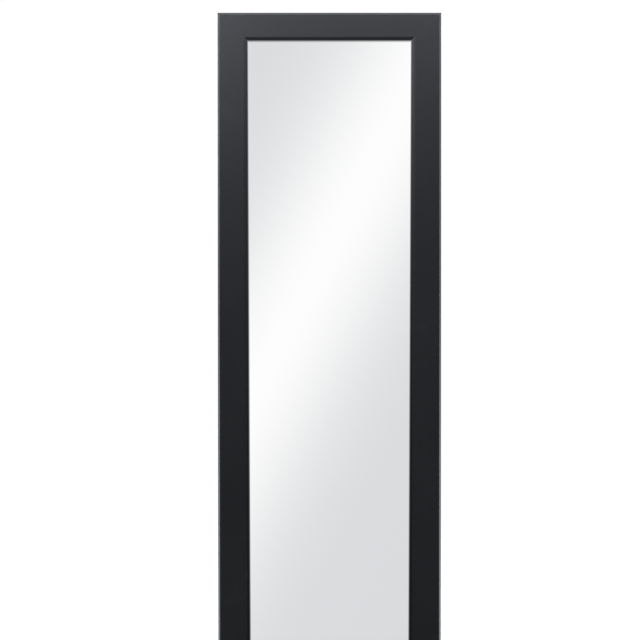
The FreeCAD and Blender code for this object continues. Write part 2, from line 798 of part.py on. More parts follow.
def hinge_leaf():
    """A plate under the frame's stile with the swivel's barrel, notched for the knuckles."""
    body = new_body("hinge_leaf")
    outline = sketch_on(body, "XZ_Plane", LEAF_BACK)
    polygon(outline, [
        ("leaf_left", "-leaf_half"), ("leaf_right", "-leaf_half"),
        ("leaf_right", "-notch_top"), ("notch_x", "-notch_top"),
        ("notch_x", "-barrel_half"), ("leaf_right", "-barrel_half"),
        ("leaf_right", "barrel_half"), ("notch_x", "barrel_half"),
        ("notch_x", "notch_top"), ("leaf_right", "notch_top"),
        ("leaf_right", "leaf_half"), ("leaf_left", "leaf_half"),
    ])
    for place in leaf_screw_places():
        circle(outline, place, "leaf_screw_shank + screw_play")
    plate = pad(body, outline, "leaf_thick")
    half = value("leaf_half")
    corners = dress(body, "Fillet", plate,
                    lambda edge: runs_along(edge, "y") and
                    abs(abs(edge.Vertexes[0].Z) - half) < 1e-4, "leaf_round")
    hole, back = value("leaf_screw_shank + screw_play"), -value(LEAF_BACK)
    dress(body, "Chamfer", corners,
          lambda edge: is_circle(edge, hole) and abs(edge.CenterOfMass.y - back) < 1e-4,
          "leaf_screw_head - leaf_screw_shank")
    barrel = sketch_on(body, "XY_Plane", "-barrel_half")
    circle(barrel, SWIVEL, "knuckle_r")
    pad(body, barrel, "2 * barrel_half")
    for top, radius, depth in (("barrel_half", "barrel_bore", "2 * barrel_half"),
                               ("barrel_half", "bush_r", "bush_length"),
                               ("bush_length - barrel_half", "bush_r", "bush_length")):
        bore = sketch_on(body, "XY_Plane", top)
        circle(bore, SWIVEL, radius)
        pocket(body, bore, depth)
    keep(body)


def flanged_bush(label, level, turn):
    """Plain bush: a sleeve inside the barrel's end and a flange that bears on the knuckle."""
    body = new_body(label)
    turned(body, [
        ("pin_r + pin_play", "-bush_length"), ("bush_r", "-bush_length"), ("bush_r", "0"),
        ("knuckle_r", "0"), ("knuckle_r", "bush_flange"), ("pin_r + pin_play", "bush_flange"),
    ])
    body.Placement = FreeCAD.Placement(V(), turn)
    bind(body, {"Placement.Base.x": "hinge_x", "Placement.Base.y": "-hinge_u",
                "Placement.Base.z": level})
    keep(body)


def pivot_pin():
    """Hexagon-headed bolt that the mirror swings on."""
    body = new_body("pivot_pin")
    head = sketch_on(body, "XY_Plane", "-knuckle_high - hex_thick")
    hexagon(head, SWIVEL, "hex_flat")
    pad(body, head, "hex_thick")
    shank = sketch_on(body, "XY_Plane", "-knuckle_high")
    circle(shank, SWIVEL, "pin_r")
    stem = pad(body, shank, "knuckle_high + pin_top")
    tip = value("pin_top")
    dress(body, "Chamfer", stem, lambda edge: lies_at(edge, "z", tip), "pin_point")
    keep(body)


def pin_fittings():
    """What keeps the swivel stiff: two disc springs face to face under a lock nut."""
    spring = new_body("spring_form")
    turned(spring, [
        ("pin_r + screw_play", "spring_rise"), ("spring_r", "0"), ("spring_r", "spring_thick"),
        ("pin_r + screw_play", "spring_rise + spring_thick"),
    ])
    stack = "(knuckle_high + 2 * (spring_rise + spring_thick))"
    group("disc_springs", spring,
          [("hinge_x", "hinge_u", "knuckle_high"), ("hinge_x", "hinge_u", stack)],
          (FreeCAD.Rotation(), UPSIDE_DOWN))

    nut = new_body("lock_nut")
    flats = sketch_on(nut, "XY_Plane", stack)
    hexagon(flats, SWIVEL, "hex_flat")
    circle(flats, SWIVEL, "pin_r + pin_play")
    pad(nut, flats, "hex_thick")
    collar = sketch_on(nut, "XY_Plane", f"{stack} + hex_thick")
    circle(collar, SWIVEL, "collar_r")
    circle(collar, SWIVEL, "pin_r + pin_play")
    pad(nut, collar, "collar_thick")
    keep(nut)


def carriage_fasteners():
    """Nuts clinched into the inner member, and the screws that hold the bracket to it."""
    places = [(x, f"{level} * bracket_hole_z")
              for x in ("bracket_hole_rear", "bracket_hole_front") for level in (-1, 1)]
    nut = new_body("clinch_form")
    turned(nut, [("clinch_bore", "0"), ("clinch_r", "0"), ("clinch_r", "-clinch_thick"),
                 ("clinch_bore", "-clinch_thick")], plane="XY_Plane")
    group("clinch_nuts", nut, [(x, f"{CARRIAGE_BACK} - clinch_thick", z) for x, z in places])
    screw = pan_screw("bracket_screw_form", "bracket_screw_head", "bracket_screw_head_thick",
                         "bracket_screw_shank", "bracket_thick + slide_steel + clinch_thick")
    group("bracket_screws", screw,
          [(x, f"{CARRIAGE_FACE} + bracket_thick", z) for x, z in places], (FACE_ABOUT,))


# ---------------------------------------------------------------- mirror leaf

RAIL = ("rail_face", "stile_face", "mirror_height", "mirror_width")
STILE = ("stile_face", "rail_face", "mirror_width", "mirror_height")
SIDES = {"top": (RAIL, 0), "right": (STILE, 90), "bottom": (RAIL, 180), "left": (STILE, -90)}


def mitred_bar(label, side, outline, hollow=None, holes=()):
    """One side of a rectangle, drawn as its top side and turned about Y into place.

    Outlines are (depth behind the front, distance in from the outer edge). Both ends are
    mitred on the line from the frame's outer corner to its inner one. Holes go through the
    back wall of the chamber, at (along, across).
    """
    (face, other_face, across, along), turn = SIDES[side]
    body = new_body(label)
    section = sketch_on(body, "YZ_Plane", f"-{along} / 2")
    for wire in (outline, hollow):
        if wire:
            polygon(section, [(f"{depth} - {FRAME_FRONT}", f"{across} / 2 - ({inward})")
                              for depth, inward in wire])
    bar = pad(body, section, along)
    if hollow:
        front, edge = -value(FRAME_FRONT), value(f"{across} / 2")
        dress(body, "Fillet", bar, lambda e: lies_at(e, "y", front) and lies_at(e, "z", edge),
              "arris_round")
    outer = f"{across} / 2 + mitre_over * {face}"
    inner = f"{across} / 2 - (1 + mitre_over) * {face}"
    for end in (-1, 1):
        tip = f"{end} * ({along} / 2 + mitre_over * {other_face})"
        foot = f"{end} * ({along} / 2 - (1 + mitre_over) * {other_face})"
        mitre = sketch_on(body, "XZ_Plane", f"{FRAME_FRONT} + cut_over")
        polygon(mitre, [(tip, outer), (foot, inner), (tip, inner)])
        pocket(body, mitre, "frame_depth + 2 * cut_over")
    if holes:
        drill = sketch_on(body, "XZ_Plane", f"{FRAME_BACK} + frame_wall + cut_over")
        for along_place, across_place, radius in holes:
            circle(drill, (along_place, across_place), radius)
        pocket(body, drill, "frame_wall + 2 * cut_over")
    body.Placement = FreeCAD.Placement(V(), FreeCAD.Rotation(V(0, 1, 0), turn))
    keep(body)


def frame_bar(label, side, extra_holes=()):
    """A length of the frame: chamber, glazing lip with its bevel, and the hook for the bead."""
    (face, _, across, along), _ = SIDES[side]
    chamber = f"{face} * chamber_share"
    outline = [
        ("0", "0"), ("frame_depth", "0"), ("frame_depth", chamber), (HOOK_BACK, chamber),
        (HOOK_BACK, f"{chamber} + hook_size"), (HOOK_FRONT, f"{chamber} + hook_size"),
        (HOOK_FRONT, chamber), ("front_wall", chamber), ("front_wall", face),
        ("front_wall - lip_edge", face), ("0", f"{face} * (1 - bevel_share)"),
    ]
    near, far = "frame_wall", f"{chamber} - frame_wall"
    back = "frame_depth - frame_wall"
    hollow = [("front_wall", near), (back, near), (back, far), ("front_wall", far)]
    key_holes = [(f"{end} * ({along} / 2 - key_screw_in)", f"{across} / 2 - {chamber} / 2",
                  "key_screw_shank + screw_play") for end in (-1, 1)]
    mitred_bar(label, side, outline, hollow, key_holes + list(extra_holes))


def glazing_bead(label, side):
    """A bead that snaps under the frame's hook and presses the backing board forwards."""
    face = SIDES[side][0][0]
    wall = f"{face} * chamber_share + bead_gap"
    step = f"{face} * chamber_share + hook_size + bead_gap"
    inside = f"{face} * bead_share"
    crest = "frame_depth - bead_inset"
    mitred_bar(label, side, [
        (BOARD_BACK, wall), (BOARD_BACK, inside), (f"{BOARD_BACK} + bead_foot", inside),
        (crest, f"{inside} - bead_slope"), (crest, step), (f"{HOOK_FRONT} - bead_gap", step),
        (f"{HOOK_FRONT} - bead_gap", wall),
    ])


def corner_key(label, side, level):
    """Cast angle inside the chambers of a rail and a stile, which the corner screws draw up."""
    body = new_body(label)
    reach = "frame_wall + key_gap"
    in_rail = f"rail_face * chamber_share - {reach.replace('+', '-')}"
    in_stile = f"stile_face * chamber_share - {reach.replace('+', '-')}"
    profile = sketch_on(body, "XZ_Plane", f"{FRAME_BACK} + frame_wall + key_gap")

    def place(inward_x, inward_z):
        return (f"{side} * (mirror_width / 2 - ({inward_x}))",
                f"{level} * (mirror_height / 2 - ({inward_z}))")

    polygon(profile, [place(reach, reach), place("key_arm", reach), place("key_arm", in_rail),
                      place(in_stile, in_rail), place(in_stile, "key_arm"),
                      place(reach, "key_arm")])
    circle(profile, place("key_screw_in", "rail_face * chamber_share / 2"), "key_bore")
    circle(profile, place("stile_face * chamber_share / 2", "key_screw_in"), "key_bore")
    block = pad(body, profile, "frame_depth - front_wall - frame_wall - 2 * key_gap")
    ends = (("x", side * value("mirror_width / 2 - key_arm")),
            ("z", level * value("mirror_height / 2 - key_arm")))
    dress(body, "Chamfer", block,
          lambda edge: any(lies_at(edge, axis, at) for axis, at in ends), "key_lead")
    keep(body)


def corner_screws():
    """Two at each corner: one into the rail's arm of the key, one into the stile's."""
    screw = pan_screw("corner_screw_form", "key_screw_head", "key_screw_head_thick",
                         "key_screw_shank", "key_screw_length")
    in_rail = four_way("(mirror_width / 2 - key_screw_in)", FRAME_BACK,
                       "(mirror_height / 2 - rail_face * chamber_share / 2)")
    in_stile = four_way("(mirror_width / 2 - stile_face * chamber_share / 2)", FRAME_BACK,
                        "(mirror_height / 2 - key_screw_in)")
    group("corner_screws", screw, in_rail + in_stile)


def pane(label, front, thick):
    """A sheet of the glazing, which fills the rebate but for a gap all round."""
    half_x = "(mirror_width / 2 - stile_face * chamber_share - glass_gap)"
    half_z = "(mirror_height / 2 - rail_face * chamber_share - glass_gap)"
    back_u = f"{FRAME_FRONT} - {front} - {thick}"
    keep(box(label, (f"-{half_x}", back_u, f"-{half_z}"),
             (half_x, f"{FRAME_FRONT} - {front}", half_z)))


def glazing_tape():
    """Four strips of foam tape between the lip and the glass, butted at the corners."""
    near = f"{FRAME_FRONT} - {GLASS_FRONT}", f"{FRAME_FRONT} - front_wall"
    out_x, in_x = (f"(mirror_width / 2 - stile_face * {share})"
                   for share in ("tape_share_low", "tape_share_high"))
    out_z, in_z = (f"(mirror_height / 2 - rail_face * {share})"
                   for share in ("tape_share_low", "tape_share_high"))
    spans = [(f"-{out_x}", out_x, in_z, out_z), (f"-{out_x}", out_x, f"-{out_z}", f"-{in_z}"),
             (f"-{out_x}", f"-{in_x}", f"-{in_z}", in_z), (in_x, out_x, f"-{in_z}", in_z)]
    bundle("glazing_tape", [box("tape_strip", (left, near[0], low), (right, near[1], high))
                            for left, right, low, high in spans])


def nut_strip():
    """Steel strip inside the right stile that the leaf's screws bite into."""
    body = new_body("nut_strip")
    outline = sketch_on(body, "XZ_Plane", f"{FRAME_BACK} + frame_wall")
    rectangle(outline, "strip_left", "strip_right", "-leaf_half", "leaf_half")
    for place in leaf_screw_places():
        circle(outline, place, "leaf_screw_shank + pin_play")
    pad(body, outline, "strip_thick")
    keep(body)


def leaf_screws():
    screw = countersunk_screw("leaf_screw_form", "leaf_screw_head", "leaf_screw_shank",
                              "leaf_screw_length")
    group("leaf_screws", screw, [(x, LEAF_BACK, z) for x, z in leaf_screw_places()])


def mirror_leaf():
    """Everything that swings: the frame, what it holds, and the hinge leaf on its back."""
    frame_bar("top_rail", "top")
    frame_bar("bottom_rail", "bottom")
    frame_bar("left_stile", "left")
    # The right stile is drawn as a top side, so a height z lies along it and x lies across.
    frame_bar("right_stile", "right", [(z, x, "leaf_screw_shank + screw_play")
                                       for x, z in leaf_screw_places()])
    for side, level, name in ((-1, 1, "top_left"), (1, 1, "top_right"),
                              (-1, -1, "bottom_left"), (1, -1, "bottom_right")):
        corner_key(f"corner_key_{name}", side, level)
    corner_screws()
    glazing_tape()
    pane("mirror_glass", GLASS_FRONT, "glass_thick")
    pane("safety_film", GLASS_BACK, "film_thick")
    pane("backing_board", BOARD_FRONT, "board_thick")
    for side in SIDES:
        glazing_bead(f"{side}_bead", side)
    hinge_leaf()
    flanged_bush("upper_bush", "barrel_half", FreeCAD.Rotation())
    flanged_bush("lower_bush", "-barrel_half", UPSIDE_DOWN)
    nut_strip()
    leaf_screws()


def swivel_carriage():
    """Everything that slides out with the mirror but does not turn."""
    inner_member()
    carriage_fasteners()
    swivel_bracket()
    pivot_pin()
    pin_fittings()


def wall_side():
    """Everything that stays on the cabinet side."""
    wall_plate()
    rest_pad()
    cabinet_member()
    member_rivets()
    rear_bumper()


wall_side()
intermediate_member()
ball_cages()
swivel_carriage()
mirror_leaf()
doc.recompute()

# ---------------------------------------------------------------- check and write

failed = [item.Name for item in doc.Objects if {"Invalid", "Error"} & set(item.State)]
failed += [item.Label for item in sub_parts if item.Shape.isNull() or not item.Shape.isValid()]
if failed:
    raise RuntimeError(f"failed objects: {failed}")
os.makedirs("parts", exist_ok=True)
for item in sub_parts:
    item.Shape.exportStep(f"parts/{item.Label}.step")
print(f"{len(sub_parts)} sub-parts written")
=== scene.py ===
"""Looks of the pull-out wardrobe mirror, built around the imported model.

Lengths are metres in the model's own frame: X along the slide, -Y out of the wardrobe's side,
Z up. At rest the glass faces -Y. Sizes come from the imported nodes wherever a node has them.
"""

import json
import math
import random

import bmesh
import bpy
from mathutils import Matrix, Vector
from mathutils.geometry import tessellate_polygon


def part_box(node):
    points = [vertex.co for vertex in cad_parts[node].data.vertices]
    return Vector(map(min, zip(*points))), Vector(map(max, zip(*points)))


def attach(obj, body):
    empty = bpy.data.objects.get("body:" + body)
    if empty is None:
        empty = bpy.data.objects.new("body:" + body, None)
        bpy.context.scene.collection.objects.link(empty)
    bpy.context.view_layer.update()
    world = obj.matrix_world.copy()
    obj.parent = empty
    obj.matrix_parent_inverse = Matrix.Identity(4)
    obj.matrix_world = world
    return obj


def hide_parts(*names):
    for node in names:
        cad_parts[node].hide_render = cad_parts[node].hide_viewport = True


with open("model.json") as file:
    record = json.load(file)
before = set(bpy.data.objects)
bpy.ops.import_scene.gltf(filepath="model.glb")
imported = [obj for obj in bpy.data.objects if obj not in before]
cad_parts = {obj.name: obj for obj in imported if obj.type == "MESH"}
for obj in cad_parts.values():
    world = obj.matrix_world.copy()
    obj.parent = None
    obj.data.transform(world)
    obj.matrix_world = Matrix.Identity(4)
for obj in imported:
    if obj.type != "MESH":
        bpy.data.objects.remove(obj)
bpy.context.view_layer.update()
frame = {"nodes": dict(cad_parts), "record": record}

MM = 0.001
# The screws' turns and then the welds' lengths are drawn, in the order the pieces are made
random.seed(7)

# ---------------------------------------------------------------- sizes, from the frame first

RAIL_LOW, RAIL_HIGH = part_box("top_rail")
STILE_LOW, STILE_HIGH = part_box("left_stile")
BEAD_LOW, BEAD_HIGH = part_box("top_bead")
GLASS_LOW, GLASS_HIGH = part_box("mirror_glass")

HALF_WIDTH = RAIL_HIGH.x
HALF_HEIGHT = RAIL_HIGH.z
FRONT = RAIL_LOW.y
DEPTH = RAIL_HIGH.y - RAIL_LOW.y
RAIL_FACE = RAIL_HIGH.z - RAIL_LOW.z
STILE_FACE = STILE_HIGH.x - STILE_LOW.x

# Frame section, as in the solids, and the fine bevel along its mitres
CHAMBER_SHARE = 0.6
BEVEL_SHARE = 0.1
FRONT_WALL = 2.2 * MM
FRAME_WALL = 1.6 * MM
LIP_EDGE = 1.45 * MM
ARRIS_ROUND = 3 * MM
NOSE_ROUND = 9 * MM
EDGE_ROUND = 0.35 * MM
HOOK_SIZE = 1.2 * MM
HOOK_INSET = 2.3 * MM
MITRE_BEVEL = 0.14 * MM
MITRE_SET = 0.2 * MM

# Painted shade in the glass along the frame, a dark line under the lip: how much wider it is
# at the foot than at the top, how soft it is, and the share of its softness at the lip. Along
# the rails it is softer, and a hair further out
SHADE_FOOT = 3.8 * MM
SHADE_SOFT = 3.0 * MM
SHADE_START = 0.37
TOP_SHADE_SLOPE = 0.4
TOP_SHADE_LIFT = 0.2 * MM
# The painted shade's tones across that line, by share, up to the glass's own silver at 1
SHADE_TONES = ((0.0, (0.012, 0.012, 0.013)), (0.34, 0.1), (0.6, 0.3), (0.86, 0.9))

# Painted highlights: the coat's colour is lighter over the outer arris and along the stiles'
# mitres, where the edges catch light. How far from the outline's corner the painted highlight
# is brightest and where it has faded, the width of the strip on the mitre, how strong each
# gets, and how many times as light as the plain coat the brightest is
HIGHLIGHT_NEAR, HIGHLIGHT_FAR = 2.6 * MM, 3.7 * MM
MITRE_GLINT = 1.9 * MM
ARRIS_HIGHLIGHT, MITRE_HIGHLIGHT = 0.58, 0.445
HIGHLIGHT_TIMES = 26
# Below this height the painted highlight on the arris grows, by this share for each metre
FOOT_START, FOOT_HIGHLIGHT = 0.05, 1.8
# How much rougher the coat is behind the face, and the part of its scale of tones that the
# plain coat's cloud takes
DRY_ROUGHER = 0.28
CLOUD_SHARE = 0.3

# The pane's ground edges
PANE_EDGE = 0.5 * MM

# Snap-in beads: reach as a share of the frame's face, toe, slope, gap to the chamber, groove
# with its places along the slope, and the hook's step and depth
BEAD_REACH = 0.8
BEAD_TOE = 1.2 * MM
BEAD_SLOPE = 2.5 * MM
BEAD_GAP = 0.1 * MM
BEAD_GROOVE = 0.35 * MM
GROOVE_SHARES = (0.4, 0.46, 0.54, 0.6)
BEAD_STEP = 1.3 * MM
BEAD_HOOK = 1.8 * MM

# The swivel's bolt, barrel and nut
HEX_FLAT = 10 * MM
HEX_CORNER = HEX_FLAT / math.sqrt(3)
HEX_THICK = 4 * MM
PIN_RADIUS = 3 * MM
PIN_PITCH = 1 * MM
PIN_THREAD = 16 * MM
PIN_CUT = 0.5 * MM
BARREL_RADIUS = 5.5 * MM
COLLAR_RADIUS = 4.3 * MM
COLLAR_THICK = 1.2 * MM
# The points round each turned form
TURNED_SIDES = 48

# Screw heads: (radius, depth) as shares of the head's radius and thickness, for the recess
# from its floor to its rim and for the dome outside it, and the rim of each kind of recess
RECESS_STEPS = ((0.25, 0.72), (0.43, 0.6), (0.5, 0.12))
DOME_STEPS = ((0.66, 0.1), (0.82, 0.24), (0.93, 0.45), (1, 0.75), (1, 0.93))
DOME_RIM, DOME_RIM_DEPTH = 0.525, 0.04
SUNK_RIM, SUNK_FLAT = 0.52, 0.72
# How far the lobes of a six-lobed recess swing, and a thread's depth as a share of its pitch
LOBE_SWING = 0.14
THREAD_CUT = 0.51

# The barrel's welds: the heights of their middles, shortest and longest in millimetres, their
# radius, the length of a ripple, how far it leans and swells, how deep the weld sits, and the
# points round it and the step along it
WELD_HEIGHTS = (-48 * MM, 0, 48 * MM)
WELD_SHORT, WELD_LONG = 19, 23
WELD_RADIUS = 1.35 * MM
WELD_RIPPLE = 1.25 * MM
WELD_LEAN, WELD_SWELL = 0.45 * MM, 0.09
WELD_SUNK = 0.3 * MM
WELD_SIDES, WELD_STEP = 16, 0.2 * MM

# Each side of the frame: along, inward, half its length, half the frame across it, and how
# far its mitre runs back along it for each unit inward
SIDES = {
    "top": (Vector((1, 0, 0)), Vector((0, 0, -1)), HALF_WIDTH, HALF_HEIGHT,
            STILE_FACE / RAIL_FACE),
    "bottom": (Vector((1, 0, 0)), Vector((0, 0, 1)), HALF_WIDTH, HALF_HEIGHT,
               STILE_FACE / RAIL_FACE),
    "left": (Vector((0, 0, 1)), Vector((1, 0, 0)), HALF_HEIGHT, HALF_WIDTH,
             RAIL_FACE / STILE_FACE),
    "right": (Vector((0, 0, 1)), Vector((-1, 0, 0)), HALF_HEIGHT, HALF_WIDTH,
              RAIL_FACE / STILE_FACE),
}
DEEP = Vector((0, 1, 0))
# Each bar of the frame: its side, its node and the width of its face
BARS = (("top", "top_rail", RAIL_FACE), ("bottom", "bottom_rail", RAIL_FACE),
        ("left", "left_stile", STILE_FACE), ("right", "right_stile", STILE_FACE))


# ---------------------------------------------------------------- outlines and meshes

def rounded(corners, steps=5):
    """A closed outline whose corners (a, b, radius) are rounded by their radius."""
    outline = []
    for before, corner, after in zip(corners[-1:] + corners[:-1], corners,
                                     corners[1:] + corners[:1]):
        here, radius = Vector(corner[:2]), corner[2]
        if not radius:
            outline.append(here)
            continue
        back = (Vector(before[:2]) - here).normalized()
        ahead = (Vector(after[:2]) - here).normalized()
        half = back.angle(ahead) / 2
        centre = here + (back + ahead).normalized() * (radius / math.sin(half))
        reach = radius / math.tan(half)
        first, last = (here + way * reach - centre for way in (back, ahead))
        turn = first.angle_signed(last)
        for k in range(steps + 1):
            spoke = Matrix.Rotation(-turn * k / steps, 2) @ first
            outline.append(centre + spoke)
    return outline


def shrunk(outline, amount):
    """The outline moved inwards by an amount."""
    area = sum(a.x * b.y - b.x * a.y for a, b in zip(outline, outline[1:] + outline[:1]))
    side = 1 if area > 0 else -1
    moved = []
    for before, here, after in zip(outline[-1:] + outline[:-1], outline,
                                   outline[1:] + outline[:1]):
        normals = []
        for first, last in ((before, here), (here, after)):
            run = (last - first).normalized()
            normals.append(Vector((-run.y, run.x)) * side)
        spread = 1 + max(normals[0].dot(normals[1]), -0.5)
        moved.append(here + (normals[0] + normals[1]) * (amount / spread))
    return moved


def to_object(name, bm, materials, sharp=35):
    """An object with smooth faces, sharp only where two faces meet at more than an angle."""
    bmesh.ops.recalc_face_normals(bm, faces=bm.faces[:])
    mesh = bpy.data.meshes.new(name)
    bm.to_mesh(mesh)
    bm.free()
    for material in materials:
        mesh.materials.append(material)
    mesh.shade_smooth()
    mesh.set_sharp_from_angle(angle=math.radians(sharp))
    piece = bpy.data.objects.new(name, mesh)
    bpy.context.scene.collection.objects.link(piece)
    weighted = piece.modifiers.new("even_normals", "WEIGHTED_NORMAL")
    weighted.keep_sharp = True
    return piece


def bridge(bm, rings):
    """Quads between closed rings of equal length."""
    for low, high in zip(rings, rings[1:]):
        for k in range(len(low)):
            after = (k + 1) % len(low)
            bm.faces.new((low[k], low[after], high[after], high[k]))


def cap(bm, loops, flat_loops):
    """A flat end between loops: the first is the outside, the others are holes."""
    verts = [vert for loop in loops for vert in loop]
    for triangle in tessellate_polygon([[Vector((*p, 0)) for p in loop]
                                        for loop in flat_loops]):
        corners = [verts[k] for k in triangle]
        if len(set(corners)) == 3:
            bm.faces.new(corners)


def mitred_bar(name, side, outline, materials, hollow=None):
    """One side of a rectangle: a section (depth, inward) run between two mitred ends.

    A fine bevel runs along each mitre, so that the joint shows as a hairline.
    """
    along, inward, half_along, half_across, slope = SIDES[side]

    def place(point, end, back):
        depth, across = point
        reach = half_along - across * slope - back
        return (inward * (across - half_across) + along * (end * reach) +
                DEEP * (FRONT + depth))

    bm = bmesh.new()
    tight = shrunk(outline, MITRE_BEVEL)
    rings = []
    for points, end, back in ((tight, -1, 0), (outline, -1, MITRE_SET),
                              (outline, 1, MITRE_SET), (tight, 1, 0)):
        rings.append([bm.verts.new(place(point, end, back)) for point in points])
    bridge(bm, rings)
    inside = []
    if hollow:
        inside = [[bm.verts.new(place(point, end, 0)) for point in hollow]
                  for end in (-1, 1)]
        bridge(bm, inside)
    for ring, hole in zip((rings[0], rings[-1]), inside or (None, None)):
        cap(bm, [ring] + ([hole] if hole else []), [tight] + ([hollow] if hole else []))
    return to_object(name, bm, materials)


def wheel(bm, profile, place, hollow=False):
    """A turned form along the place's Z: entries are (radius, height), lowest or inmost first.

    A radius may be a function of the angle. A hollow form's profile closes on itself.
    """
    rings = []
    for radius, height in profile:
        ring = []
        for k in range(TURNED_SIDES):
            angle = 2 * math.pi * k / TURNED_SIDES
            reach = radius(angle) if callable(radius) else radius
            ring.append(bm.verts.new(place @ Vector((reach * math.cos(angle),
                                                     reach * math.sin(angle), height))))
        rings.append(ring)
    bridge(bm, rings + rings[:1] if hollow else rings)
    if not hollow:
        for ring in (rings[0], rings[-1]):
            bm.faces.new(ring)


def thread(radius, depth, pitch, start, end, steps=6):
    """Rings of a helical thread from start down or up to end."""
    count = round(abs(end - start) / pitch * steps)
    rings = []
    for k in range(count + 1):
        height = start + (end - start) * k / count

        def reach(angle, height=height):
            turn = (height / pitch - angle / (2 * math.pi)) % 1
            return radius - depth * (1 - abs(2 * turn - 1))
        rings.append((reach, height))
    return rings


def six_lobed(radius):
    """A six-lobed socket's outline."""
    return lambda angle: radius * (1 + LOBE_SWING * math.cos(6 * angle))


def crossed(radius):
    """A cross recess's outline: four arms, a third of their reach wide."""
    def reach(angle):
        off = abs((angle + math.pi / 4) % (math.pi / 2) - math.pi / 4)
        arm = radius / 3
        return min(radius / math.cos(off), max(arm / max(math.sin(off), 0.01), arm))
    return reach


def hexagonal(flat, limit):
    """A hexagon across flats, cut off by a circle."""
    def reach(angle):
        off = (angle + math.pi / 6) % (math.pi / 3) - math.pi / 6
        return min(flat / 2 / math.cos(off), limit)
    return reach


def solids_of(node):
    """The (lowest, highest) corners of each separate solid of a node."""
    bm = bmesh.new()
    bm.from_mesh(frame["nodes"][node].data)
    bmesh.ops.remove_doubles(bm, verts=bm.verts[:], dist=0.001 * MM)
    waiting, found = set(bm.verts), []
    while waiting:
        front = [waiting.pop()]
        island = list(front)
        while front:
            for edge in front.pop().link_edges:
                for vert in edge.verts:
                    if vert in waiting:
                        waiting.remove(vert)
                        front.append(vert)
                        island.append(vert)
        spots = [vert.co for vert in island]
        found.append(tuple(Vector(pick(spot[axis] for spot in spots) for axis in range(3))
                           for pick in (min, max)))
    bm.free()
    return sorted(found, key=lambda corners: tuple(round(c, 5) for c in corners[0]))


# ---------------------------------------------------------------- materials

# Where in a noise the dark tone ends and the light one starts, a coat's tints, and the
# colour of the bracket's coat
TINT_START, TINT_END = 0.3, 0.7
COAT_TINTS = (0.9, 1.1)
BRACKET_COLOUR = (0.019, 0.0195, 0.021)
# Hardboard: how much of its tone is pulp, and where and how much its flecks darken it
PULP_SHARE = 0.78
FLECK_START, FLECK_DARK = 0.66, 1.2


class Nodes:
    """Joins and computes in one node tree."""

    def __init__(self, tree):
        self.tree = tree

    def feed(self, socket, source):
        """Link a socket to an output, or set its value."""
        if isinstance(source, bpy.types.NodeSocket):
            self.tree.links.new(source, socket)
        else:
            socket.default_value = source

    def calc(self, operation, *sources, clamp=False):
        """The result of a math operation on outputs and numbers."""
        made = self.tree.nodes.new("ShaderNodeMath")
        made.operation = operation
        made.use_clamp = clamp
        for socket, source in zip(made.inputs, sources):
            self.feed(socket, source)
        return made.outputs[0]


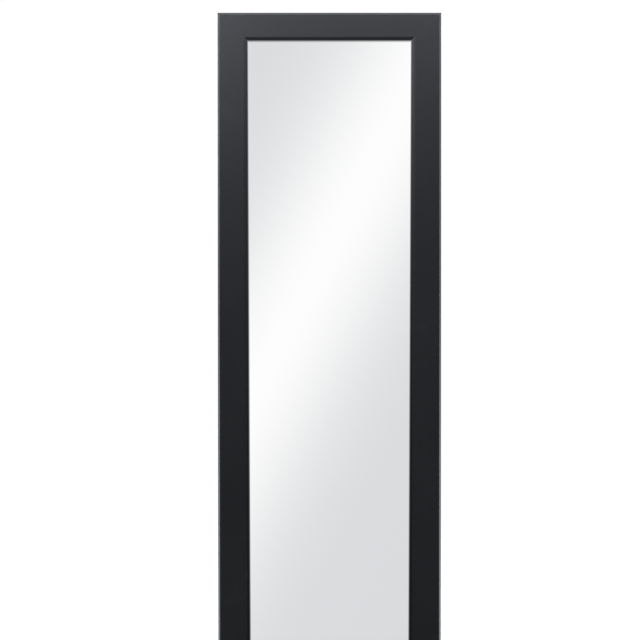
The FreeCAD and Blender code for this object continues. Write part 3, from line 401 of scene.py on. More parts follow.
class Finish(Nodes):
    """A node material under construction: one Principled shader and what feeds it."""

    def __init__(self, name, colour, **sockets):
        self.material = bpy.data.materials.new(name)
        self.material.use_nodes = True
        super().__init__(self.material.node_tree)
        self.shader = self.tree.nodes["Principled BSDF"]
        self.colour = (*colour, 1)
        self.set("Base Color", self.colour)
        for socket, amount in sockets.items():
            self.set(socket.replace("_", " "), amount)
        self.place = self.node("ShaderNodeTexCoord").outputs["Object"]
        self.height = None

    def set(self, socket, source):
        """Link one of the shader's own sockets to an output, or set its value."""
        self.feed(self.shader.inputs[socket], source)

    def node(self, kind, **settings):
        """A node with its own settings made."""
        made = self.tree.nodes.new(kind)
        for key, setting in settings.items():
            setattr(made, key, setting)
        return made

    def stretched(self, stretch):
        """The object's own coordinates, scaled along each axis."""
        mapping = self.node("ShaderNodeMapping")
        self.feed(mapping.inputs["Scale"], stretch)
        self.feed(mapping.inputs["Vector"], self.place)
        return mapping.outputs["Vector"]

    def texture(self, made, result, stretch=None, **inputs):
        """The result of a texture node laid over the object's coordinates."""
        self.feed(made.inputs["Vector"], self.stretched(stretch) if stretch else self.place)
        for socket, amount in inputs.items():
            self.feed(made.inputs[socket], amount)
        return made.outputs[result]

    def noise(self, scale, detail=3, rough=0.5, stretch=None, warp=0):
        return self.texture(self.node("ShaderNodeTexNoise"), "Fac", stretch, Scale=scale,
                            Detail=detail, Roughness=rough, Distortion=warp)

    def cells(self, scale):
        return self.texture(self.node("ShaderNodeTexVoronoi"), "Distance", Scale=scale)

    def bands(self, scale, axis, warp):
        return self.texture(self.node("ShaderNodeTexWave", bands_direction=axis), "Fac",
                            Scale=scale, Distortion=warp)

    def split(self):
        """The object's own X, Y and Z."""
        parts = self.node("ShaderNodeSeparateXYZ")
        self.feed(parts.inputs["Vector"], self.place)
        return parts.outputs

    def ramp(self, source, stops):
        """A ramp through (position, colour or grey) stops."""
        ramp = self.node("ShaderNodeValToRGB")
        elements = ramp.color_ramp.elements
        while len(elements) < len(stops):
            elements.new(0.5)
        for element, (position, tone) in zip(elements, stops):
            element.position = position
            grey = not hasattr(tone, "__len__")
            element.color = (tone, tone, tone, 1) if grey else (*tone, 1)
        self.feed(ramp.inputs["Fac"], source)
        return ramp.outputs["Color"]

    def tinted(self, source, low, high):
        """Base colour that runs between two multiples of the plain colour."""
        self.set("Base Color", self.ramp(source, [(TINT_START, self.times(low)),
                                                    (TINT_END, self.times(high))]))

    def times(self, share):
        """The plain colour times a share."""
        return tuple(c * share for c in self.colour[:3])

    def span(self, source, low, high):
        """A source that runs from 0 to 1, spread between two amounts."""
        made = self.node("ShaderNodeMapRange")
        for socket, amount in (("Value", source), ("To Min", low), ("To Max", high)):
            self.feed(made.inputs[socket], amount)
        return made.outputs["Result"]

    def rough(self, source, low, high):
        """Roughness that runs between two amounts."""
        self.set("Roughness", self.span(source, low, high))

    def bump(self, source, strength, distance):
        """One more layer of relief, over the layers before it."""
        relief = self.node("ShaderNodeBump")
        for socket, amount in (("Strength", strength), ("Distance", distance),
                               ("Height", source)):
            self.feed(relief.inputs[socket], amount)
        self.layer(relief)

    def soften_edges(self, radius):
        """Edges that catch the light as if rounded by a radius."""
        bevel = self.node("ShaderNodeBevel", samples=6)
        self.feed(bevel.inputs["Radius"], radius)
        self.layer(bevel)

    def layer(self, made):
        """Put a node that bends the normal over the layers before it."""
        if self.height:
            self.feed(made.inputs["Normal"], self.height)
        self.height = made.outputs["Normal"]
        self.set("Normal", self.height)


def coat_cloud(coat):
    """The slow change of tone in a powder coat."""
    return coat.noise(9, detail=4)


def powder_coat(name, colour, roughness, grain, gloss, drier=None, tone=None):
    """Satin powder coat: orange peel a millimetre across and a finer grain on it.

    Where given, drier makes what is added to its roughness and tone makes its colour.
    """
    coat = Finish(name, colour, Specular_IOR_Level=gloss)
    coat.set("Specular Tint", (0.87, 0.9, 1.0, 1))
    if tone:
        coat.set("Base Color", tone(coat))
    else:
        coat.tinted(coat_cloud(coat), *COAT_TINTS)
    satin = coat.span(coat.noise(240, detail=2), roughness - 0.03, roughness + 0.03)
    coat.set("Roughness", coat.calc("ADD", drier(coat), satin) if drier else satin)
    coat.bump(coat.noise(850, detail=2), 0.1 * grain, 0.04 * MM)
    coat.bump(coat.noise(3200, detail=1), 0.08 * grain, 0.015 * MM)
    return coat


def sheet_metal(name, colour, roughness, along, streak=0.06):
    """Plated steel sheet with the rolling marks that run along one way."""
    metal = Finish(name, colour, Metallic=1.0)
    stretch = Vector((1, 1, 1))
    stretch[along] = 0.035
    marks = metal.noise(900, detail=3, rough=0.65, stretch=stretch)
    cloud = metal.noise(26, detail=5, rough=0.6, warp=0.6)
    metal.tinted(cloud, 0.9, 1.05)
    metal.rough(marks, roughness - streak, roughness + streak)
    metal.bump(marks, 0.12, 0.02 * MM)
    return metal


def dry_behind(coat):
    """More roughness behind the face, where a coat sprayed from the front lies drier."""
    deep = coat.calc("SUBTRACT", coat.split()["Y"], FRONT)
    behind = coat.calc("DIVIDE", coat.calc("SUBTRACT", deep, ARRIS_ROUND), ARRIS_ROUND,
                       clamp=True)
    return coat.calc("MULTIPLY", behind, DRY_ROUGHER)


def painted_highlight_tone(coat):
    """The coat's colour with painted highlights: lighter over the outer arris and on the
    mitres.
    """
    spot = coat.split()
    from_side, from_end = (coat.calc("SUBTRACT", edge, coat.calc("ABSOLUTE", spot[axis]))
                           for axis, edge in (("X", HALF_WIDTH), ("Z", HALF_HEIGHT)))
    aside = coat.calc("MINIMUM", from_side, from_end)
    deep = coat.calc("SUBTRACT", spot["Y"], FRONT)
    away = coat.calc("SQRT", coat.calc("ADD", coat.calc("MULTIPLY", aside, aside),
                                       coat.calc("MULTIPLY", deep, deep)))
    # Painted highlight along the outer arris, stronger below FOOT_START
    arris = coat.calc("MULTIPLY_ADD", away, -1 / (HIGHLIGHT_FAR - HIGHLIGHT_NEAR),
                      HIGHLIGHT_FAR / (HIGHLIGHT_FAR - HIGHLIGHT_NEAR), clamp=True)
    lower = coat.calc("MAXIMUM", coat.calc("SUBTRACT", FOOT_START, spot["Z"]), 0)
    arris = coat.calc("MULTIPLY", arris, coat.calc("MULTIPLY_ADD", lower, FOOT_HIGHLIGHT, 1))
    # Painted highlight, a glint on the stile's side of each mitre
    off_mitre = coat.calc("MULTIPLY_ADD", from_end, STILE_FACE / RAIL_FACE,
                          coat.calc("MULTIPLY", from_side, -1))
    near = coat.calc("MULTIPLY_ADD", off_mitre, -1 / MITRE_GLINT, 1)
    on_stile = coat.calc("GREATER_THAN", off_mitre, 0)
    glint = coat.calc("MULTIPLY", coat.calc("MULTIPLY", near, on_stile), MITRE_HIGHLIGHT)
    painted_highlight = coat.calc("MAXIMUM", coat.calc("MULTIPLY", arris, ARRIS_HIGHLIGHT), glint)
    cloud = coat.calc("MULTIPLY", coat_cloud(coat), CLOUD_SHARE)
    dark, light = COAT_TINTS
    return coat.ramp(coat.calc("MAXIMUM", cloud, painted_highlight),
                     [(CLOUD_SHARE * TINT_START, coat.times(dark)),
                      (CLOUD_SHARE * TINT_END, coat.times(light)),
                      (1.0, coat.times(HIGHLIGHT_TIMES))])


def frame_black():
    """Satin coat with painted highlights on the arris and mitres' edges, dry behind the face.
    """
    return powder_coat("frame_black", (0.0056, 0.0059, 0.0065), 0.34, 2.2, gloss=0.14,
                       drier=dry_behind, tone=painted_highlight_tone).material


def bracket_black():
    coat = powder_coat("bracket_black", BRACKET_COLOUR, 0.44, 2.4, gloss=0.3)
    coat.soften_edges(0.35 * MM)
    return coat.material


def mirror_silver():
    """Silvered glass with painted shade right by the frame, a dark line under the lip.

    That painted dark line is a hair at the top and widens down both sides.
    """
    silver = Finish("mirror_silver", (0.98, 0.98, 0.98), Metallic=1.0)
    spot = silver.split()
    half_wide, half_high = HALF_WIDTH - STILE_FACE, HALF_HEIGHT - RAIL_FACE
    from_side, from_end = (silver.calc("SUBTRACT", edge, silver.calc("ABSOLUTE", spot[axis]))
                           for axis, edge in (("X", half_wide), ("Z", half_high)))
    from_end = silver.calc("MULTIPLY_ADD", from_end, TOP_SHADE_SLOPE, TOP_SHADE_LIFT)
    # The painted shade widens down the sides
    painted_shade_width = silver.calc("MULTIPLY_ADD", spot["Z"], -SHADE_FOOT / (2 * half_high),
                            SHADE_FOOT / 2)
    from_side = silver.calc("SUBTRACT", from_side, painted_shade_width)
    nearest = silver.calc("MINIMUM", from_side, from_end)
    share = silver.calc("MULTIPLY_ADD", nearest, 1 / SHADE_SOFT, SHADE_START)
    silver.set("Base Color", silver.ramp(share, [*SHADE_TONES, (1.0, silver.colour[:3])]))
    silver.rough(silver.noise(14, detail=4), 0.0, 0.012)
    return silver.material


def glass_edge():
    edge = Finish("glass_edge", (0.16, 0.3, 0.25), Specular_IOR_Level=0.6)
    edge.tinted(edge.noise(300), 0.85, 1.15)
    edge.rough(edge.noise(900), 0.2, 0.35)
    return edge.material


def zinc_plate():
    zinc = sheet_metal("zinc_plate", (0.6, 0.61, 0.63), 0.34, along=0)
    zinc.soften_edges(0.3 * MM)
    return zinc.material


def rolled_steel():
    steel = sheet_metal("rolled_steel", (0.56, 0.57, 0.59), 0.3, along=0, streak=0.1)
    steel.soften_edges(0.2 * MM)
    return steel.material


def ball_steel():
    steel = Finish("ball_steel", (0.72, 0.72, 0.74), Metallic=1.0)
    steel.rough(steel.noise(1800), 0.05, 0.14)
    steel.tinted(steel.noise(700), 0.95, 1.02)
    return steel.material


def screw_zinc():
    zinc = Finish("screw_zinc", (0.64, 0.65, 0.68), Metallic=1.0)
    zinc.tinted(zinc.noise(420, detail=4), 0.82, 1.06)
    zinc.rough(zinc.noise(1300), 0.2, 0.36)
    zinc.bump(zinc.noise(2600), 0.08, 0.02 * MM)
    return zinc.material


def pin_steel():
    return sheet_metal("pin_steel", (0.52, 0.52, 0.54), 0.26, along=2).material


def plastic(name, colour, roughness, grain=1.0):
    """Moulded or extruded plastic with a fine spark-eroded grain."""
    made = Finish(name, colour, Specular_IOR_Level=0.45)
    made.tinted(made.noise(60, detail=4), 0.93, 1.06)
    made.rough(made.noise(500), roughness - 0.05, roughness + 0.05)
    made.bump(made.noise(2200, detail=2), 0.14 * grain, 0.03 * MM)
    made.soften_edges(0.25 * MM)
    return made.material


def bush_polymer():
    return plastic("bush_polymer", (0.72, 0.69, 0.6), 0.42)


def bumper_plastic():
    return plastic("bumper_plastic", (0.05, 0.05, 0.052), 0.5)


def bead_black():
    return plastic("bead_black", (0.035, 0.035, 0.037), 0.46, grain=0.6)


def lock_ring():
    return plastic("lock_ring", (0.75, 0.77, 0.78), 0.4)


def pad_rubber():
    return plastic("pad_rubber", (0.028, 0.028, 0.029), 0.78, grain=3.0)


def tape_foam():
    foam = Finish("tape_foam", (0.05, 0.05, 0.052), Specular_IOR_Level=0.2)
    foam.rough(foam.noise(800), 0.75, 0.95)
    foam.bump(foam.cells(1500), 0.4, 0.05 * MM)
    return foam.material


def film_clear():
    film = Finish("film_clear", (0.55, 0.58, 0.61), Specular_IOR_Level=0.5)
    film.tinted(film.noise(30, detail=4, warp=1.0), 0.92, 1.05)
    film.rough(film.noise(200), 0.18, 0.34)
    film.bump(film.noise(70, detail=3), 0.05, 0.1 * MM)
    return film.material


def board_brown():
    """Hardboard: pressed fibres, long dark flecks, and the imprint of the wire screen."""
    board = Finish("board_brown", (0.155, 0.093, 0.05), Specular_IOR_Level=0.22)
    pulp = board.noise(1500, detail=6, rough=0.7)
    cloud = board.noise(9, detail=4, warp=0.5)
    tone = board.calc("MULTIPLY_ADD", pulp, PULP_SHARE,
                      board.calc("MULTIPLY", cloud, 1 - PULP_SHARE))
    strands = board.noise(520, detail=1, stretch=(0.7, 1, 0.55), warp=2.2)
    fleck = board.calc("MAXIMUM", board.calc("SUBTRACT", strands, FLECK_START), 0)
    tone = board.calc("MULTIPLY_ADD", fleck, -FLECK_DARK, tone)
    board.tinted(tone, 0.62, 1.35)
    board.rough(board.noise(60, detail=4), 0.6, 0.78)
    for axis in ("X", "Z"):
        board.bump(board.bands(170, axis, warp=0.6), 0.14, 0.06 * MM)
    board.bump(pulp, 0.25, 0.05 * MM)
    return board.material


def key_cast():
    cast = Finish("key_cast", (0.5, 0.5, 0.51), Metallic=1.0)
    cast.tinted(cast.noise(150, detail=5), 0.85, 1.05)
    cast.rough(cast.noise(600), 0.38, 0.55)
    cast.bump(cast.noise(900, detail=3), 0.2, 0.05 * MM)
    return cast.material


def weld_coat():
    """The same black coat where it lies thicker over the weld's ripples."""
    return powder_coat("weld_coat", BRACKET_COLOUR, 0.4, 1.2, gloss=0.3).material


SLOTS = {make.__name__: make() for make in (
    frame_black, mirror_silver, zinc_plate, rolled_steel, ball_steel, bracket_black,
    screw_zinc, pin_steel, bush_polymer, bumper_plastic, pad_rubber, tape_foam, film_clear,
    board_brown, bead_black, key_cast)}
SLOT_OF = {row["node"]: row["material_slot"] for row in frame["record"]["subparts"]}


# ---------------------------------------------------------------- pieces

def stand_in(piece, node, body):
    """The piece stands for a node: the node is hidden and the piece rides on the node's body.
    """
    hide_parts(node)
    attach(piece, body)


def frame_section(face):
    """The frame's section: flat face, rounded arris, bevel to the glass, bead hook."""
    chamber = face * CHAMBER_SHARE
    nose = face * (1 - BEVEL_SHARE)
    hook_back, hook_front = DEPTH - HOOK_INSET, DEPTH - HOOK_INSET - HOOK_SIZE
    return rounded([
        (0, 0, ARRIS_ROUND), (DEPTH, 0, EDGE_ROUND), (DEPTH, chamber, EDGE_ROUND),
        (hook_back, chamber, 0), (hook_back, chamber + HOOK_SIZE, 0),
        (hook_front, chamber + HOOK_SIZE, 0), (hook_front, chamber, 0),
        (FRONT_WALL, chamber, 0), (FRONT_WALL, face, 0),
        (FRONT_WALL - LIP_EDGE, face, 0), (0, nose, NOSE_ROUND),
    ])


def frame_bars():
    """The frame's four hollow bars."""
    for side, node, face in BARS:
        near, far = FRAME_WALL, face * CHAMBER_SHARE - FRAME_WALL
        back = DEPTH - FRAME_WALL
        hollow = [Vector(spot) for spot in ((FRONT_WALL, near), (back, near), (back, far),
                                            (FRONT_WALL, far))]
        bar = mitred_bar(f"{node}_profile", side, frame_section(face),
                         [SLOTS["frame_black"]], hollow)
        stand_in(bar, node, "mirror")


def bead_section(face):
    """The snap-in bead: a foot on the board, a sloped back with one groove, and its hook."""
    chamber, sight = face * CHAMBER_SHARE, face * BEAD_REACH
    foot = BEAD_LOW.y - FRONT
    back = BEAD_HIGH.y - FRONT
    hook = back - BEAD_HOOK
    slope_start = Vector((foot + BEAD_TOE, sight))
    slope_end = Vector((back, sight - BEAD_SLOPE))
    slope = slope_end - slope_start
    inward = Vector((-slope.y, slope.x)).normalized()
    if inward.x > 0:
        inward = -inward
    cut = [slope_start + slope * share + inward * deep
           for share, deep in zip(GROOVE_SHARES, (0, BEAD_GROOVE, BEAD_GROOVE, 0))]
    return rounded([
        (foot, chamber + BEAD_GAP, 0), (foot, sight, 0.2 * MM),
        (*slope_start, 0.4 * MM), *((*spot, 0) for spot in cut), (*slope_end, 0.6 * MM),
        (back, chamber + BEAD_STEP, 0.4 * MM), (hook, chamber + BEAD_STEP, 0),
        (hook, chamber + BEAD_GAP, 0),
    ], steps=4)


def beads():
    """One snap-in bead behind each bar."""
    for side, _, face in BARS:
        bead = mitred_bar(f"{side}_bead_profile", side, bead_section(face),
                          [SLOTS["bead_black"]])
        stand_in(bead, f"{side}_bead", "mirror")


def mirror_pane():
    """The pane with its ground edges."""
    bm = bmesh.new()
    bmesh.ops.create_cube(bm, size=1)
    size = GLASS_HIGH - GLASS_LOW
    bmesh.ops.scale(bm, vec=size, verts=bm.verts)
    bmesh.ops.translate(bm, vec=(GLASS_HIGH + GLASS_LOW) / 2, verts=bm.verts)
    bmesh.ops.bevel(bm, geom=bm.edges[:], offset=PANE_EDGE, segments=2, affect="EDGES",
                    profile=0.5)
    bm.normal_update()
    for face in bm.faces:
        face.material_index = 0 if abs(face.normal.y) > 0.999 else 1
    pane = to_object("mirror_pane", bm, [SLOTS["mirror_silver"], glass_edge()], sharp=20)
    stand_in(pane, "mirror_glass", "mirror")


def screw_profile(head, thick, shank, length, pitch, recess, sunk):
    """A screw from the bottom of its recess, over its head and down its thread.

    The head's top is at height 0. A sunk head is a cone, any other a low dome.
    """
    rings = [(recess(head * wide), -thick * deep) for wide, deep in RECESS_STEPS]
    if sunk:
        rings += [(recess(head * SUNK_RIM), 0), (head * SUNK_FLAT, 0), (head - 0.1 * MM, 0),
                  (head, -0.1 * MM), (head, -0.3 * MM), (shank, shank - head)]
    else:
        rings += [(recess(head * DOME_RIM), -thick * DOME_RIM_DEPTH)]
        rings += [(head * wide, -thick * deep) for wide, deep in DOME_STEPS]
        rings += [(head - 0.08 * MM, -thick), (shank, -thick)]
    neck = rings[-1][1] - pitch
    rings += [(shank, neck)]
    rings += thread(shank, THREAD_CUT * pitch, pitch, neck - 0.1 * MM, -length + 0.5 * MM)
    rings += [(shank * 0.6, -length)]
    return rings


# Each group of screws: node, body, the way its heads face along Y, the head's radius and
# thickness, the shank's radius and the pitch in millimetres, the recess, and a sunk head
SCREWS = (
    ("corner_screws", "mirror", 1, 3, 1.6, 1.5, 0.6, crossed, False),
    ("leaf_screws", "mirror", 1, 4, 2.0, 2.0, 0.7, six_lobed, True),
    ("bracket_screws", "carriage", -1, 3.8, 2.2, 1.95, 0.7, six_lobed, False),
)


def screws():
    """Screws with recesses and threads, each turned as the driver left it."""
    for node, body, facing, head, thick, shank, pitch, recess, sunk in SCREWS:
        bm = bmesh.new()
        for low, high in solids_of(node):
            spot = (low + high) / 2
            spot.y = high.y if facing > 0 else low.y
            place = (Matrix.Translation(spot) @
                     Matrix.Rotation(-facing * math.pi / 2, 4, "X") @
                     Matrix.Rotation(random.uniform(0, math.pi), 4, "Z"))
            profile = screw_profile(head * MM, thick * MM, shank * MM, high.y - low.y,
                                    pitch * MM, recess, sunk)
            wheel(bm, profile, place)
        piece = to_object(f"{node}_driven", bm, [SLOTS["screw_zinc"]], sharp=40)
        stand_in(piece, node, body)


def upright(node):
    """A place on the axis of a node that stands upright, at height 0."""
    low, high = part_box(node)
    middle = (low + high) / 2
    return Matrix.Translation((middle.x, middle.y, 0))


def swivel_bolt():
    """The bolt: a chamfered hexagon head, a plain shank and a thread at its top."""
    low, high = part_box("pivot_pin")
    head_top = low.z + HEX_THICK
    tip = high.z
    bm = bmesh.new()
    wheel(bm, [
        (HEX_FLAT * 0.36, low.z + 0.15 * MM), (HEX_FLAT * 0.4, low.z),
        (HEX_FLAT * 0.47, low.z), (hexagonal(HEX_FLAT, HEX_CORNER), low.z + 0.6 * MM),
        (hexagonal(HEX_FLAT, HEX_CORNER), head_top - 0.35 * MM),
        (hexagonal(HEX_FLAT, HEX_FLAT * 0.52), head_top - 0.2 * MM),
        (HEX_FLAT * 0.48, head_top), (PIN_RADIUS + 0.25 * MM, head_top),
        (PIN_RADIUS, head_top + 0.25 * MM), (PIN_RADIUS, tip - PIN_THREAD - 0.2 * MM),
        *thread(PIN_RADIUS, PIN_CUT, PIN_PITCH, tip - PIN_THREAD, tip - 0.9 * MM, steps=8),
        (PIN_RADIUS - 0.7 * MM, tip - 0.1 * MM), (PIN_RADIUS - 0.8 * MM, tip),
    ], upright("pivot_pin"))
    bolt = to_object("swivel_bolt", bm, [SLOTS["pin_steel"]], sharp=40)
    stand_in(bolt, "pivot_pin", "carriage")


def swivel_nut():
    """The lock nut: chamfered flats, a rolled collar, and the nylon ring inside it."""
    low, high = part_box("lock_nut")
    flats_top = high.z - COLLAR_THICK
    bore = PIN_RADIUS + 0.05 * MM
    ring_out, ring_low = PIN_RADIUS + 0.75 * MM, flats_top - 0.1 * MM
    place = upright("lock_nut")
    bm = bmesh.new()
    wheel(bm, [
        (bore, low.z + 0.3 * MM), (bore + 0.3 * MM, low.z), (HEX_FLAT * 0.47, low.z),
        (hexagonal(HEX_FLAT, HEX_CORNER), low.z + 0.5 * MM),
        (hexagonal(HEX_FLAT, HEX_CORNER), flats_top - 0.5 * MM),
        (HEX_FLAT * 0.47, flats_top), (COLLAR_RADIUS, flats_top + 0.05 * MM),
        (COLLAR_RADIUS, high.z - 0.35 * MM), (COLLAR_RADIUS - 0.12 * MM, high.z - 0.1 * MM),
        (COLLAR_RADIUS - 0.4 * MM, high.z), (ring_out - 0.1 * MM, high.z - 0.1 * MM),
        (ring_out, high.z - 0.3 * MM), (ring_out, ring_low), (bore, ring_low),
    ], place, hollow=True)
    nut = to_object("swivel_nut", bm, [SLOTS["screw_zinc"]], sharp=40)
    stand_in(nut, "lock_nut", "carriage")
    bm = bmesh.new()
    wheel(bm, [
        (bore, ring_low + 0.05 * MM), (ring_out - 0.03 * MM, ring_low + 0.05 * MM),
        (ring_out - 0.03 * MM, high.z - 0.35 * MM), (bore + 0.1 * MM, high.z - 0.35 * MM),
        (bore, high.z - 0.45 * MM),
    ], place, hollow=True)
    ring = to_object("nut_locking_ring", bm, [lock_ring()], sharp=40)
    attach(ring, "carriage")


def weld_ring(along, length, lean):
    """The (across, deep) points of a ring round a weld, at a place along it."""
    taper = min(1, max(0.03, (length / 2 - abs(along)) / (2 * WELD_RADIUS))) ** 0.5
    points = []
    for k in range(WELD_SIDES):
        angle = 2 * math.pi * k / WELD_SIDES
        phase = (along + WELD_LEAN * math.cos(angle)) / WELD_RIPPLE
        swell = 1 + WELD_SWELL * math.cos(2 * math.pi * phase)
        radius = WELD_RADIUS * taper * swell
        points.append(lean * (radius * math.cos(angle) + WELD_SUNK) +
                      Vector((-lean.y, lean.x)) * (radius * math.sin(angle)))
    return points


def welds():
    """Short stitches of rippled weld where the barrel lies on the leaf, on both sides."""
    leaf_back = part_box("leaf_screws")[1].y
    axis = upright("pivot_pin").translation
    # Each lies where the barrel's circle crosses the leaf, and leans halfway between the two
    rise = leaf_back - axis.y
    reach = math.sqrt(BARREL_RADIUS ** 2 - rise ** 2)
    tangent = Vector((-abs(rise), reach)) / BARREL_RADIUS
    lean = (tangent + Vector((-1, 0))).normalized()
    bm = bmesh.new()
    for side in (-1, 1):
        for centre in WELD_HEIGHTS:
            length = random.uniform(WELD_SHORT, WELD_LONG) * MM
            rings = []
            for k in range(round(length / WELD_STEP) + 1):
                along = -length / 2 + WELD_STEP * k
                rings.append([bm.verts.new((axis.x + side * (reach - spot.x),
                                            leaf_back + spot.y, centre + along))
                              for spot in weld_ring(along, length, lean)])
            bridge(bm, rings)
            for ring in (rings[0], rings[-1]):
                bm.faces.new(ring)
    piece = to_object("barrel_welds", bm, [weld_coat()], sharp=60)
    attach(piece, "mirror")


for node_name, slot_name in SLOT_OF.items():
    for holder in frame["nodes"][node_name].material_slots:
        holder.material = SLOTS[slot_name]

frame_bars()
beads()
mirror_pane()
screws()
swivel_bolt()
swivel_nut()
welds()


# ---------------------------------------------------------------- stage, light, camera

# Soft bands that the glass mirrors: their slant by azimuth and by height, the middle, the
# width and the number of them round the room, and the dark and light tone
BAND_ACROSS, BAND_RISE = 0.884, -0.467
BAND_MIDDLE, BAND_WIDTH, BAND_COUNT = -0.0072, 0.0419, 13
BAND_DARK, BAND_LIGHT = 0.733, 1.0
# How squarely a way must look out of the wardrobe's side for the bands to show in it: in
# full, and at all
FACING, AROUND = 0.985, 0.93
# The room at the poles, at the horizon, and how fast it falls off between them
ROOM_DARK, ROOM_LIGHT, ROOM_FALL = 0.3, 0.56, 3
# The tent on both sides and above, and the ground: where each starts, where it is full, and
# how light it is
TENT_START, TENT_FULL, TENT_LIGHT = 0.6, 0.97, 1.1
GROUND_START, GROUND_FULL, GROUND_LIGHT = 0.28, 0.62, 0.82
# The light on matt surfaces, the white behind the object, and the tints of the room's light
AMBIENT, BACKDROP = 0.3, 1.02
AMBIENT_TINT, ROOM_TINT, WHITE = (0.97, 0.985, 1.0), (0.975, 0.985, 1.01), (1, 1, 1)
# The floor: its height, its radius, and how much it glows for the camera
FLOOR_LEVEL, FLOOR_RADIUS, FLOOR_GLOW = -0.75, 9, 0.8
# The camera: place, angle of view, and how far it looks down and is rolled, in degrees
VIEW_PLACE, VIEW_ANGLE = (-0.0144, -3.0, 0.0704), 18.745
VIEW_PITCH, VIEW_ROLL = 0.72, 0.018
# Each lamp: name, place, aim, size, power, and whether glossy surfaces mirror it
LAMPS = (
    ("key", (-0.7, -2.0, 0.9), (0, 0, 0.3), 0.3, 18.5, True),
    ("key_inner", (-0.35, -2.0, 1.0), (0, 0, 0.3), 0.3, 9.7, True),
    ("key_right", (0.4, -1.8, 0.95), (0, 0, 0.3), 0.3, 5.4, True),
    ("fill", (0.28, -2.0, 1.12), (0, 0, 0.1), 0.8, 11.7, True),
    ("side_left", (-2.4, -0.5, -0.35), (0, 0, 0), 0.8, 22, False),
    ("side_right", (2.4, -0.5, -0.15), (0, 0, 0), 0.8, 38, False),
    ("back", (0.9, 2.2, 1.4), (0, 0, 0), 1.4, 60, True),
    ("back_left", (-1.8, 1.2, 0.9), (0, 0, 0), 1.2, 30, True),
)


class Shading(Nodes):
    """A tree made from nothing, with short names for its nodes."""

    def __init__(self, tree):
        super().__init__(tree)
        tree.nodes.clear()

    def node(self, kind, **inputs):
        """A node with its inputs fed."""
        made = self.tree.nodes.new(kind)
        for socket, source in inputs.items():
            self.feed(made.inputs[socket.replace("_", " ")], source)
        return made

    def rise(self, source, start, full, level):
        """From nothing at start, smoothly up to a level."""
        made = self.node("ShaderNodeMapRange", Value=source)
        made.interpolation_type = "SMOOTHSTEP"
        for socket, amount in (("From Min", start), ("From Max", full), ("To Min", 0),
                               ("To Max", level)):
            self.feed(made.inputs[socket], amount)
        return made.outputs["Result"]

    def mix(self, share, first, second):
        """The first shader, and by a share the second."""
        return self.joined("ShaderNodeMixShader", share, first, second)

    def joined(self, kind, *sources):
        """A node whose inputs are fed in their order."""
        made = self.tree.nodes.new(kind)
        for socket, source in zip(made.inputs, sources):
            self.feed(socket, source)
        return made.outputs[0]


def studio_world():
    """White ground for the camera, a plain grey for light, soft bands in the mirror."""
    world = bpy.data.worlds.new("studio")
    bpy.context.scene.world = world
    world.use_nodes = True
    sky = Shading(world.node_tree)
    way = sky.node("ShaderNodeTexCoord").outputs["Generated"]
    x, y, z = sky.node("ShaderNodeSeparateXYZ", Vector=way).outputs
    azimuth = sky.calc("ARCTAN2", x, sky.calc("MULTIPLY", y, -1))
    rise = sky.calc("ARCSINE", z)
    across = sky.calc("ADD", sky.calc("MULTIPLY", azimuth, BAND_ACROSS),
                      sky.calc("MULTIPLY", rise, BAND_RISE))
    repeat = 2 * math.pi * BAND_ACROSS / BAND_COUNT
    from_middle = sky.calc("WRAP", sky.calc("SUBTRACT", across, BAND_MIDDLE), repeat / 2,
                           -repeat / 2)
    offset = sky.calc("DIVIDE", from_middle, BAND_WIDTH)
    band = sky.calc("EXPONENT",
                    sky.calc("MULTIPLY", sky.calc("MULTIPLY", offset, offset), -1))
    ahead = sky.calc("MULTIPLY_ADD", y, -1 / (FACING - AROUND), -AROUND / (FACING - AROUND),
                     clamp=True)
    flat = sky.calc("SUBTRACT", 1, sky.calc("ABSOLUTE", z))
    room = sky.calc("MULTIPLY_ADD", sky.calc("POWER", flat, ROOM_FALL),
                    ROOM_LIGHT - ROOM_DARK, ROOM_DARK)
    outer = sky.calc("MAXIMUM", sky.calc("ABSOLUTE", x), z)
    tent = sky.rise(outer, TENT_START, TENT_FULL, TENT_LIGHT)
    ground = sky.rise(sky.calc("MULTIPLY", z, -1), GROUND_START, GROUND_FULL, GROUND_LIGHT)
    room = sky.calc("MAXIMUM", room, sky.calc("MAXIMUM", tent, ground))
    plain = sky.calc("MULTIPLY_ADD", ahead, sky.calc("SUBTRACT", BAND_DARK, room), room)
    ray = sky.node("ShaderNodeLightPath").outputs
    mirrored = sky.calc("MAXIMUM", ray["Is Glossy Ray"], ray["Is Transmission Ray"])
    ambient, dim, light, backdrop = (
        sky.node("ShaderNodeBackground", Color=(*tint, 1), Strength=strength).outputs[0]
        for tint, strength in ((AMBIENT_TINT, AMBIENT), (ROOM_TINT, plain),
                               (WHITE, BAND_LIGHT), (WHITE, BACKDROP)))
    lit = sky.mix(mirrored, ambient, sky.mix(band, dim, light))
    sky.node("ShaderNodeOutputWorld", Surface=sky.mix(ray["Is Camera Ray"], lit, backdrop))


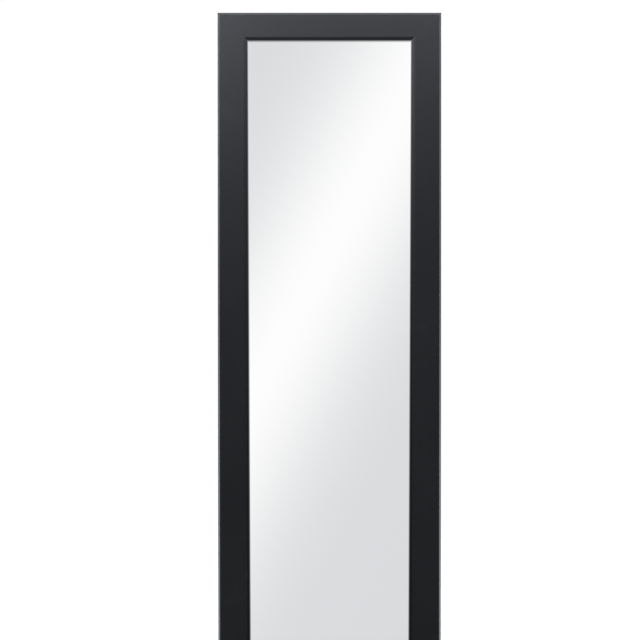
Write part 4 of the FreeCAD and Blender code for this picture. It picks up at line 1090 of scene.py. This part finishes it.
def studio_floor():
    """A pale floor: white to the camera, with the object's shadow left on it.

    From underneath it isn't there, so that the object's foot can be seen.
    """
    mesh = bpy.data.meshes.new("studio_floor")
    bm = bmesh.new()
    bmesh.ops.create_circle(bm, cap_ends=True, radius=FLOOR_RADIUS, segments=64)
    bm.to_mesh(mesh)
    bm.free()
    floor = bpy.data.objects.new("studio_floor", mesh)
    floor.location = (0, 0, FLOOR_LEVEL)
    floor.visible_glossy = False
    bpy.context.scene.collection.objects.link(floor)
    material = bpy.data.materials.new("studio_floor")
    material.use_nodes = True
    mesh.materials.append(material)
    paint = Shading(material.node_tree)
    matt = paint.node("ShaderNodeBsdfDiffuse", Color=(0.8, 0.8, 0.8, 1)).outputs[0]
    glow = paint.node("ShaderNodeEmission", Color=(*WHITE, 1), Strength=FLOOR_GLOW).outputs[0]
    camera_ray = paint.node("ShaderNodeLightPath").outputs["Is Camera Ray"]
    top = paint.mix(camera_ray, matt, paint.joined("ShaderNodeAddShader", matt, glow))
    under = paint.node("ShaderNodeBsdfTransparent").outputs[0]
    from_under = paint.node("ShaderNodeNewGeometry").outputs["Backfacing"]
    paint.node("ShaderNodeOutputMaterial", Surface=paint.mix(from_under, top, under))


def lamps():
    """Soft boxes: the key stands near the frame's top left and leaves its foot darker.

    They don't show in the glass, which mirrors only the room.
    """
    left_out = bpy.data.collections.new("mirrors_no_lamp")
    left_out.objects.link(bpy.data.objects["mirror_pane"])
    for entry in left_out.collection_objects:
        entry.light_linking.link_state = "EXCLUDE"
    for name, place, target, size, power, mirrored in LAMPS:
        data = bpy.data.lights.new(name, "AREA")
        data.shape = "SQUARE"
        data.size = size
        data.energy = power
        lamp = bpy.data.objects.new(name, data)
        lamp.location = place
        lamp.visible_glossy = mirrored
        lamp.light_linking.receiver_collection = left_out
        aim = Vector(target) - Vector(place)
        lamp.rotation_euler = aim.to_track_quat("-Z", "Y").to_euler()
        bpy.context.scene.collection.objects.link(lamp)


def viewpoint():
    """The photograph's point of view."""
    data = bpy.data.cameras.new("viewpoint")
    data.sensor_fit = "HORIZONTAL"
    data.angle = math.radians(VIEW_ANGLE)
    camera = bpy.data.objects.new("viewpoint", data)
    camera.location = VIEW_PLACE
    camera.rotation_euler = (math.radians(90 - VIEW_PITCH), math.radians(VIEW_ROLL), 0)
    bpy.context.scene.collection.objects.link(camera)
    bpy.context.scene.camera = camera


studio_world()
studio_floor()
lamps()
viewpoint()
bpy.context.scene.view_settings.view_transform = "Standard"
